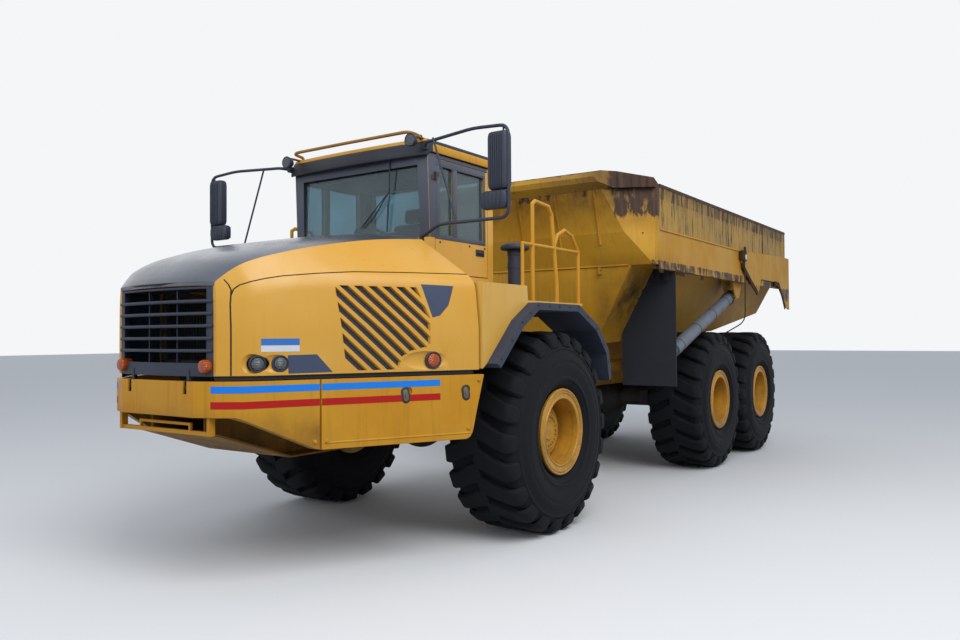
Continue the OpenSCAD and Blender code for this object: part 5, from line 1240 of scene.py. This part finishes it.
# worn along the lower rim, at the front wall's top corners and along its top edge; darkened under
# that edge by painted shade from the spill guard's overhang and by dirt, and darkened on the slopes
# and behind the arches
body_enamel = enamel("dump_body_enamel", "#C88E18", "#D2A036", dust=0.25, streaks=0.2, chips=0.7,
    rough=0.45, dust_top=2.4, coat=0.0, gloss=0.3, torn_grain=(9, 9, 3),
    worn_places=[((-2.6, side * 1.75, 2.63), (9, 0.16, 0.11), 0.46) for side in both_sides]
    + [((0.45, side * 1.75, 3.62), (0.75, 0.70, 0.60), 0.52) for side in both_sides]
    + [((0.52, 0, 3.56), (0.30, 9, 0.14), 0.40)],
    stains_and_shade=[((0.50, 0, 3.62), (0.60, 9, 0.62), 1.2), ((-2.2, 0, 1.95), (4.6, 9, 0.75), 0.3)]
    + [((-0.02, side * 1.35, 2.12), (0.45, 0.50, 0.70), 1.6) for side in both_sides])
# scraped down its whole face by the loader's bucket, and bare along its top edge
board_paint = enamel("scraped_board_paint", "#C49A48", "#AC8C50", dust=0.3, streaks=1.0, chips=0.9,
    rough=0.55, dust_top=4.5, coat=0.0, gloss=0.3, streak_colour="#33261B", torn_grain=(15, 15, 1.8),
    worn_places=[((-2.6, 0, z), (12, 9, half), gone)
    for z, half, gone in ((3.63, 0.10, 0.62), (3.56, 0.22, 0.42), (3.35, 0.50, 0.35))],
    stains_and_shade=[((-2.6, 0, 3.62), (12, 9, 0.30), 0.8)])
# bare and rusty at both ends and along the top
guard_paint = enamel("rusted_guard_paint", "#C0922E", "#96723A", dust=0.4, streaks=0.6, chips=0.9,
    rough=0.55, dust_top=4.5, coat=0.0, gloss=0.3, torn_grain=(7, 7, 4),
    worn_places=[((0.6, side * 1.75, 3.66), (3.0, 0.72, 2.0), 0.60) for side in both_sides]
    + [((0.5, 0, 3.79), (3, 9, 0.07), 0.55)],
    stains_and_shade=[((0.6, side * 1.9, 3.66), (3, 1.2, 2), 1.4) for side in both_sides])
# worn along the arms' lower edges and at their pivots, and a little down the rear face
gate_paint = enamel("worn_gate_enamel", "#C88E18", "#D2A036", dust=0.3, streaks=0.3, chips=0.9,
    rough=0.48, dust_top=3.0, coat=0.0, gloss=0.3, torn_grain=(9, 9, 3),
    worn_places=[row for side in both_sides for row in (((-4.6, side * 1.75, 2.50), (2.6, 0.16, 0.16),
    0.42), ((-3.14, side * 1.75, 2.90), (0.26, 0.16, 0.30), 0.36))]
    + [((-5.74, 0, 2.6), (0.14, 9, 0.5), 0.2)])
# soaked with oil and dust round the steering hinge
frame_paint = enamel("oily_frame_enamel", "#A87414", "#8C651E", dust=1.0, streaks=0.6, chips=0.6,
    rough=0.55, dust_top=3.0, coat=0.0, gloss=0.3, streak_colour="#2E2418",
    stains_and_shade=[((1.0, 0, 1.2), (1.3, 3, 1.4), 0.9)])
barrel_paint = enamel("hoist_barrel_enamel", "#5C6675", "#6E7884", dust=0.5, streaks=0.3, chips=0.4,
    rough=0.45, dust_top=3.0, coat=0.0, streak_colour="#33302C")
for names, paint in ((("dump_body",), body_enamel), (("side_boards",), board_paint),
        (("spill_guard",), guard_paint), (("tailgate",), gate_paint),
        (("hoist_barrels",), barrel_paint),
        (("front_frame", "rear_frame", "hitch_link", "outriggers", "hoist_tubes", "tow_plate",
        "tow_jaw"), frame_paint)):
    for name in names:
        frame["nodes"][name].data.materials.clear()
        frame["nodes"][name].data.materials.append(paint)

# Load space: replaceable wear plates over the floor, slopes and walls, scoured bare by rock and
# browned by damp, with their joints showing as gaps.
scoured = enamel("scoured_wear_plate", "#6A5240", "#7C6A58", dust=0.4, streaks=0.9, chips=0.4,
    rough=0.5, dust_top=4.0, rust="#2C1A12", streak_colour="#3E2A1E",
    worn_places=[((-2.5, 0, 2.4), (12, 9, 5), 0.27)])
# The floor line from the front wall back: x from the front axle, z
low_row = [(-2.260, 1.720), (-5.902, 1.890), (-8.040, 2.200)]

def floor_at(x):
    """Height of the body's floor line at a place behind the front axle."""
    (xa, za), (xb, zb) = (low_row[0], low_row[1]) if x > low_row[1][0] else (low_row[1], low_row[2])
    return za + (zb - za) * (xa - x) / (xa - xb)

def space_section(x, inset):
    """The load space's outline at a place, from the left wall's top down and across: y, z."""
    bottom, aside = floor_at(x) + 0.040 + inset, inset * 1.2
    rim_y, bend_y, bend_z = 1.617 - aside, 1.359 - aside, 2.655
    floor_y = 0.850 + (1.360 - 0.850) * (bottom - 1.700) / (2.650 - 1.700) - aside
    half = [(rim_y, 3.070), (bend_y, bend_z)] + [(floor_y + (bend_y - floor_y) * t,
        bottom + (bend_z - bottom) * t) for t in (0.5, 0.0)]
    return half + [(-y, z) for y, z in half[::-1]]

plate_joints = [-2.36, -3.15, -4.05, -4.95, -5.895, -6.65, -7.40, -8.02]
half_gap = 0.004
plates = []
for x0, x1 in zip(plate_joints, plate_joints[1:]):
    rings = []
    for x in (x0 - half_gap, x1 + half_gap):
        outer, inner = space_section(x, 0.004), space_section(x, 0.013)
        rings.append([(front_x + x, y, z) for y, z in outer + inner[::-1]])
    plates.append(lofted(rings))
ahead = []
for x, z, half in ((-2.3035, 1.800, 0.895), (-2.2440, 2.640, 1.345), (-2.2440, 2.665, 1.352),
        (-2.1530, 3.020, 1.575)):
    ahead.append([(front_x + x, half, z), (front_x + x, -half, z), (front_x + x - 0.009, -half, z),
        (front_x + x - 0.009, half, z)])
liner = piece_of("load_space_plates", *joined(plates + [lofted(ahead)]), scoured)
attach(liner, "tipping_body")

# Torn rim: the folded steel lip under each side wall, ripped into a fringe of strips by loading and
# browned by rust that flakes off.
rust_steel = grained("flaking_rust", "#2A1B13", "#5C3E26", 0.9, 6, 0.5, 0.8, dust_top=8.0, gloss=0.3)
dice = random.Random(11)
lip_front, lip_rear, lip_z = -2.36, -5.30, 2.645
shapes, x = [], lip_front
while x > lip_rear:
    wide, deep = dice.uniform(0.04, 0.20), dice.uniform(0.025, 0.080) * dice.choice((0.6, 1, 1, 1.5))
    bend, slant = dice.uniform(-0.012, 0.012), dice.uniform(-0.02, 0.03)
    shapes.append(lofted([[(front_x + x, y, z), (front_x + x - wide, y, z),
        (front_x + x - wide + slant, y + 0.003, z), (front_x + x + slant, y + 0.003, z)]
        for y, z in ((1.682, lip_z + 0.017), (1.684, lip_z - deep * 0.4),
        (1.684 + bend, lip_z - deep))]))
    x -= wide + dice.uniform(-0.01, 0.07)
fringe = both_hands(piece_of("torn_rim_strips", *joined(shapes), rust_steel))
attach(fringe, "tipping_body")

# Body seams and fittings: half-round rails welded along the top of each side wall, upright corner
# beads, and clevises that reach round the tailgate's arms and hold their pins.
wall_rail = pipe(at_front([(-2.36, 1.690, 3.064), (-5.40, 1.690, 3.064), (-8.08, 1.690, 3.064)]), 0.013)
corner_bead = pipe(at_front([(-2.262, 1.688, 3.530), (-2.262, 1.688, 3.080), (-2.240, 1.688, 2.680)]),
    0.010)
beads = both_hands(piece_of("body_beads", *joined([wall_rail, corner_bead]), body_enamel))
weld = pipe(at_front([(-2.196, -1.36, 2.654), (-2.196, 1.36, 2.654)]), 0.011)
weld_bead = piece_of("front_wall_weld", *weld, body_enamel)
for part in (beads, weld_bead):
    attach(part, "tipping_body")
clevis = joined([soft_block((front_x - 5.405, 1.690, 2.935), (front_x - 5.365, 1.740, 3.065), 0.006),
    soft_block((front_x - 5.600, 1.7340, 2.925), (front_x - 5.370, 1.7435, 3.075), 0.004),
    soft_block((front_x - 5.580, 1.7335, 3.060), (front_x - 5.470, 1.7420, 3.135), 0.004)])
pin_end = turned([(0.0, 0.0), (0.042, 0.0), (0.042, 0.006), (0.036, 0.010), (0.0, 0.011)], 32)
pivot = piece_of("gate_pivot_pins", *pin_end, finishes["bright_steel"])
gate_pivot = (front_x - 5.540, 1.7425, 2.980)
put(pivot, [Matrix.Translation(gate_pivot)])
gate_clevises = piece_of("upper_gate_brackets", *clevis, rust_steel)
for part, slot_name in ((pivot, "bright_steel"), (gate_clevises, "worn_yellow_paint")):
    both_hands(part)
    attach(part, "tipping_body")

# Gate wires: a greased steel rope on each side, clamped to the gate's pivot bracket above and to
# the rear frame below. It lifts the gate as the body tips.
wire = grained("oiled_wire_rope", "#1E1C1A", "#4A3C2C", 0.7, 3, 0.5, 0.5)
rope = [(-5.500, 1.735, 2.930), (-5.500, 1.742, 2.600), (-5.500, 1.735, 2.020), (-5.495, 1.20, 1.720),
    (-5.490, 0.462, 1.440)]
strands = [pipe(at_front(rope), 0.009, 0.12, 8),
    soft_block((front_x - 5.520, 1.716, 2.900), (front_x - 5.480, 1.748, 2.960), 0.008),
    soft_block((front_x - 5.515, 0.452, 1.415), (front_x - 5.465, 0.480, 1.465), 0.008)]
ropes = piece_of("gate_wires", *joined(strands), wire)
both_hands(ropes)
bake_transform(ropes)

# Arm edges: thick stiffeners along the front of each tailgate arm and round its notch, scraped bare
# and dark with grease, and darker still as painted shade of the gap between the arm and the body's
# wall.
# The two worn edges of an arm, behind the front axle: x, z
arm_lines = [[(-5.470, 2.905), (-5.700, 2.775), (-5.935, 2.650), (-6.100, 2.575), (-6.235, 2.512)],
    [(-7.200, 2.712), (-7.480, 2.706), (-7.640, 2.575), (-7.800, 2.420), (-7.905, 2.312)]]
edge_bars = []
for line in arm_lines:
    fine = [(x0 + (x1 - x0) * k / 6, z0 + (z1 - z0) * k / 6) for (x0, z0), (x1, z1) in zip(line,
        line[1:]) for k in range(6)] + [line[-1]]
    rings = []
    for i, (x, z) in enumerate(fine):
        ahead, behind = fine[min(i + 1, len(fine) - 1)], fine[max(i - 1, 0)]
        way = Vector((ahead[0] - behind[0], ahead[1] - behind[1])).normalized()
        across = Vector((way.y, -way.x))
        wide = 0.085 + 0.030 * noise(Vector((x * 5.0, z * 5.0, 3.0)))
        low = 0.004 * noise(Vector((x * 9.0, z * 9.0, 7.0)))
        rings.append([(front_x + x + across.x * s, y, z + across.y * s)
            for s, y in ((-0.002 + low, 1.713), (-0.002 + low, 1.722), (-wide * 0.9, 1.7235),
            (-wide, 1.713))])
    edge_bars.append(lofted(rings))
arm_edges = both_hands(piece_of("gate_arm_edges", *joined(edge_bars), rust_steel))
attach(arm_edges, "gate")

# Cylinder fittings: screwed gland rings of cast iron where the rods come out, and a bright steel
# oil line that clips hold under each hoist barrel.
def along(foot, eye, distance, below):
    """A point some metres along the line from one pin to the next one behind it, and below it."""
    way = (Vector(eye) - Vector(foot)).normalized()
    up = Vector((way.z, 0, -way.x))
    return Vector(foot) + way * distance - up * below

def gland(foot, eye, start, radius, length):
    """A notched ring round a cylinder's end: points and faces."""
    way = (Vector(eye) - Vector(foot)).normalized()
    turn = Vector((0, 1, 0)).rotation_difference(way).to_matrix().to_4x4()
    place = Matrix.Translation(Vector(foot) + way * start) @ turn
    points, sides = turned([(radius * 0.62, 0.0), (radius, 0.0), (radius, length * 0.6),
        (radius * 0.93, length * 0.66), (radius * 0.93, length * 0.86), (radius * 0.86, length),
        (radius * 0.62, length)], 32)
    return [tuple(place @ Vector(p)) for p in points], sides

hoist_foot, hoist_eye = (front_x - 3.050, 1.530, 1.600), (front_x - 5.550, 1.530, 2.430)
line = [along(hoist_foot, hoist_eye, t, 0.104) for t in (0.24, 0.9, 1.6, 2.25)]
clips = []
for t in (0.30, 0.95, 1.60, 2.20):
    clips.append(gland(hoist_foot, hoist_eye, t, 0.0885, 0.018))
hoist_rings = both_hands(piece_of("hoist_glands",
    *joined([gland(hoist_foot, hoist_eye, 2.378, 0.096, 0.052)] + clips), finishes["dark_cast_iron"]))
hoist_lines = both_hands(piece_of("hoist_oil_lines",
    *joined([pipe([line[0] + Vector((0.02, 0, 0.05))] + line
    + [along(hoist_foot, hoist_eye, 2.33, 0.080)], 0.009, 0.05, 8)]), finishes["bright_steel"]))
for part in (hoist_rings, hoist_lines):
    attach(part, "hoist_barrel_pair")
for side, sign in (("left", 1), ("right", -1)):
    foot, eye = (front_x - 0.367, sign * 0.525, 1.125), (front_x - 1.597, sign * 0.383, 1.125)
    rings = piece_of("steer_gland_" + side, *joined([gland(foot, eye, 0.742, 0.065, 0.042),
        gland(foot, eye, 0.150, 0.062, 0.02)]), finishes["dark_cast_iron"])
    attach(rings, "steer_barrel_" + side[0])

# Hinge hoses: a bundle of rubber oil and air hoses that loops over the steering hinge in two spans,
# held on the hinge's link by a bolted clamp.
hose_rubber = grained("hose_rubber", "#15171A", "#3A3630", 0.6, 4, 0.2, 0.6)
fitting_zinc = grained("zinc_hose_fittings", "#8C8A80", "#5C5240", 0.35, 3, 0.1, 0.5, metal=0.9)
front_span, rear_span, ends = [], [], []
for k, y in enumerate((-0.22, -0.15, -0.08, 0.08, 0.15, 0.22)):
    lift = 0.02 * math.sin(k * 1.9)
    front_span.append(pipe(at_front([(-0.70, y * 0.9, 1.335), (-0.86, y, 1.42),
        (-1.10, y, 1.560 + lift), (-1.36, y, 1.590 + lift), (-1.662, y, 1.520)]), 0.0175, 0.11, 10))
    rear_span.append(pipe(at_front([(-1.658, y, 1.520), (-1.86, y, 1.500 + lift),
        (-2.06, y, 1.490 + lift), (-2.14, y, 1.445), (-2.226, y, 1.430)]), 0.0175, 0.08, 10))
    ends.append(pipe(at_front([(-2.190, y, 1.4345), (-2.227, y, 1.430)]), 0.023, 0.01, 6))
front_hoses = piece_of("front_hinge_hoses", *joined(front_span), hose_rubber)
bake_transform(front_hoses)
rear_hoses = piece_of("rear_hinge_hoses", *joined(rear_span), hose_rubber)
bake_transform(rear_hoses)
hose_ends = piece_of("hose_ends", *joined(ends), fitting_zinc)
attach(hose_ends, "rear_unit")
clamp = piece_of("hose_clamp",
    *joined([soft_block((front_x - 1.680, -0.255, 1.492), (front_x - 1.640, 0.255, 1.546), 0.006),
    soft_block((front_x - 1.672, -0.060, 1.280), (front_x - 1.652, 0.060, 1.500), 0.005)]), frame_paint)
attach(clamp, "hinge_link")

# Platform tread: raised anti-slip studs, turned left and right by turns, pressed out of the fender
# platforms' steel and sprayed with them.
stud = lofted([[(x * s, y * s, z) for x, y in ((0.011, 0), (0, 0.0045), (-0.011, 0), (0, -0.0045))]
    for s, z in ((1.0, -0.001), (0.55, 0.0022))])
studs = piece_of("platform_studs", *stud, finishes["yellow_paint"])
put(studs, [Matrix.Translation((front_x - 0.530, 0.885, 2.140)) @ Matrix.Rotation(math.radians(35), 4,
    "Z"), Matrix.Translation((front_x - 0.512, 0.905, 2.140)) @ Matrix.Rotation(math.radians(-35), 4,
    "Z")])
studs_along, studs_across, stud_pitch_along, stud_pitch_across = 27, 16, 0.0365, 0.0400
repeated(studs, row_of_copies, studs_along, (stud_pitch_along, 0, 0))
repeated(studs, row_of_copies, studs_across, (0, stud_pitch_across, 0))
both_hands(studs)
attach(studs, "tractor")

# Arch bolts: a row of bolts along the lip of each rubber wheel arch, and others that hold the mud
# flaps under the body's rim.
arch_bolts = piece_of("arch_bolts", *bolt_head, finishes["black_plastic"])
put(arch_bolts, [Matrix.Translation((front_x + x, 1.7, z)) @ Matrix.Scale(0.7, 4)
    for x, z in ((1.065, 1.640), (0.900, 1.790), (0.735, 1.945), (0.600, 2.030), (0.462, 2.094),
    (0.270, 2.094), (0.080, 2.094), (-0.110, 2.094), (-0.290, 2.094), (-0.480, 2.010), (-0.680, 1.895),
    (-0.830, 1.740), (-0.930, 1.560))])
both_hands(arch_bolts)
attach(arch_bolts, "tractor")
flap_bolts = piece_of("flap_bolts", *bolt_head, finishes["dark_cast_iron"])
put(flap_bolts, [Matrix.Translation((front_x - 2.835, 1.02, 2.02)) @ Matrix.Rotation(-math.pi / 2, 4,
    "Z")])
repeated(flap_bolts, row_of_copies, 7, (0, 0.062, 0.089))
both_hands(flap_bolts)
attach(flap_bolts, "tipping_body")

# Tail lamps: two moulded clusters bolted to the rear frame's tail plate, each a black case with a
# red and an amber acrylic pane.
tail_lamp_ys = (-0.285, 0.285)
cases = piece_of("tail_lamp_cases", *joined([soft_block((front_x - 6.905, y - 0.085, 1.325),
    (front_x - 6.879, y + 0.085, 1.405), 0.008) for y in tail_lamp_ys]), finishes["black_plastic"])
red = lens("red_lens", "#A01208")
red_panes, amber_panes = (piece_of(name, *joined([soft_block((front_x - 6.911, y + low, 1.332),
    (front_x - 6.903, y + high, 1.398), 0.0035, 2) for y in tail_lamp_ys]), finish)
    for name, low, high, finish in (("tail_lamp_red", -0.078, 0.018, red),
    ("tail_lamp_amber", 0.022, 0.078, amber)))
for part, name in ((cases, "black_plastic"), (red_panes, "lamp_glass"), (amber_panes, "lamp_glass")):
    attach(part, "rear_unit")

# Hood seal and grille duct: a rubber strip closes the gap under each side panel, and black sheets
# behind the nose lead air to the radiator and also darken the engine bay seen through the grille, as
# painted shade.
rings = []
for row in hood_steps[2:-1]:
    rings.append([(front_x + row[0], row[1] - inset, z) for inset, z in ((0.022, 1.5565),
        (0.022, 1.520), (0.032, 1.520), (0.032, 1.5565))])
base_seal = both_hands(piece_of("hood_base_seal", *lofted(rings), finishes["black_rubber"]))
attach(base_seal, "hood")
duct_back, sheet_gauge = 2.70, 0.004
duct_sides = [lofted([[(front_x + x, y, 1.60), (front_x + x, y + sheet_gauge, 1.60),
    (front_x + x, y + sheet_gauge, 2.176), (front_x + x, y, 2.176)] for x in (duct_back, 3.005)])
    for y in (-0.556, 0.552)]
duct_floors = [lofted([[(front_x + x, -0.55, z), (front_x + x, 0.55, z),
    (front_x + x, 0.55, z + sheet_gauge), (front_x + x, -0.55, z + sheet_gauge)]
    for x in (duct_back, 3.03)]) for z in (1.585, 2.178)]
duct = piece_of("grille_duct", *joined(duct_sides + duct_floors), finishes["black_plastic"])
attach(duct, "hood")
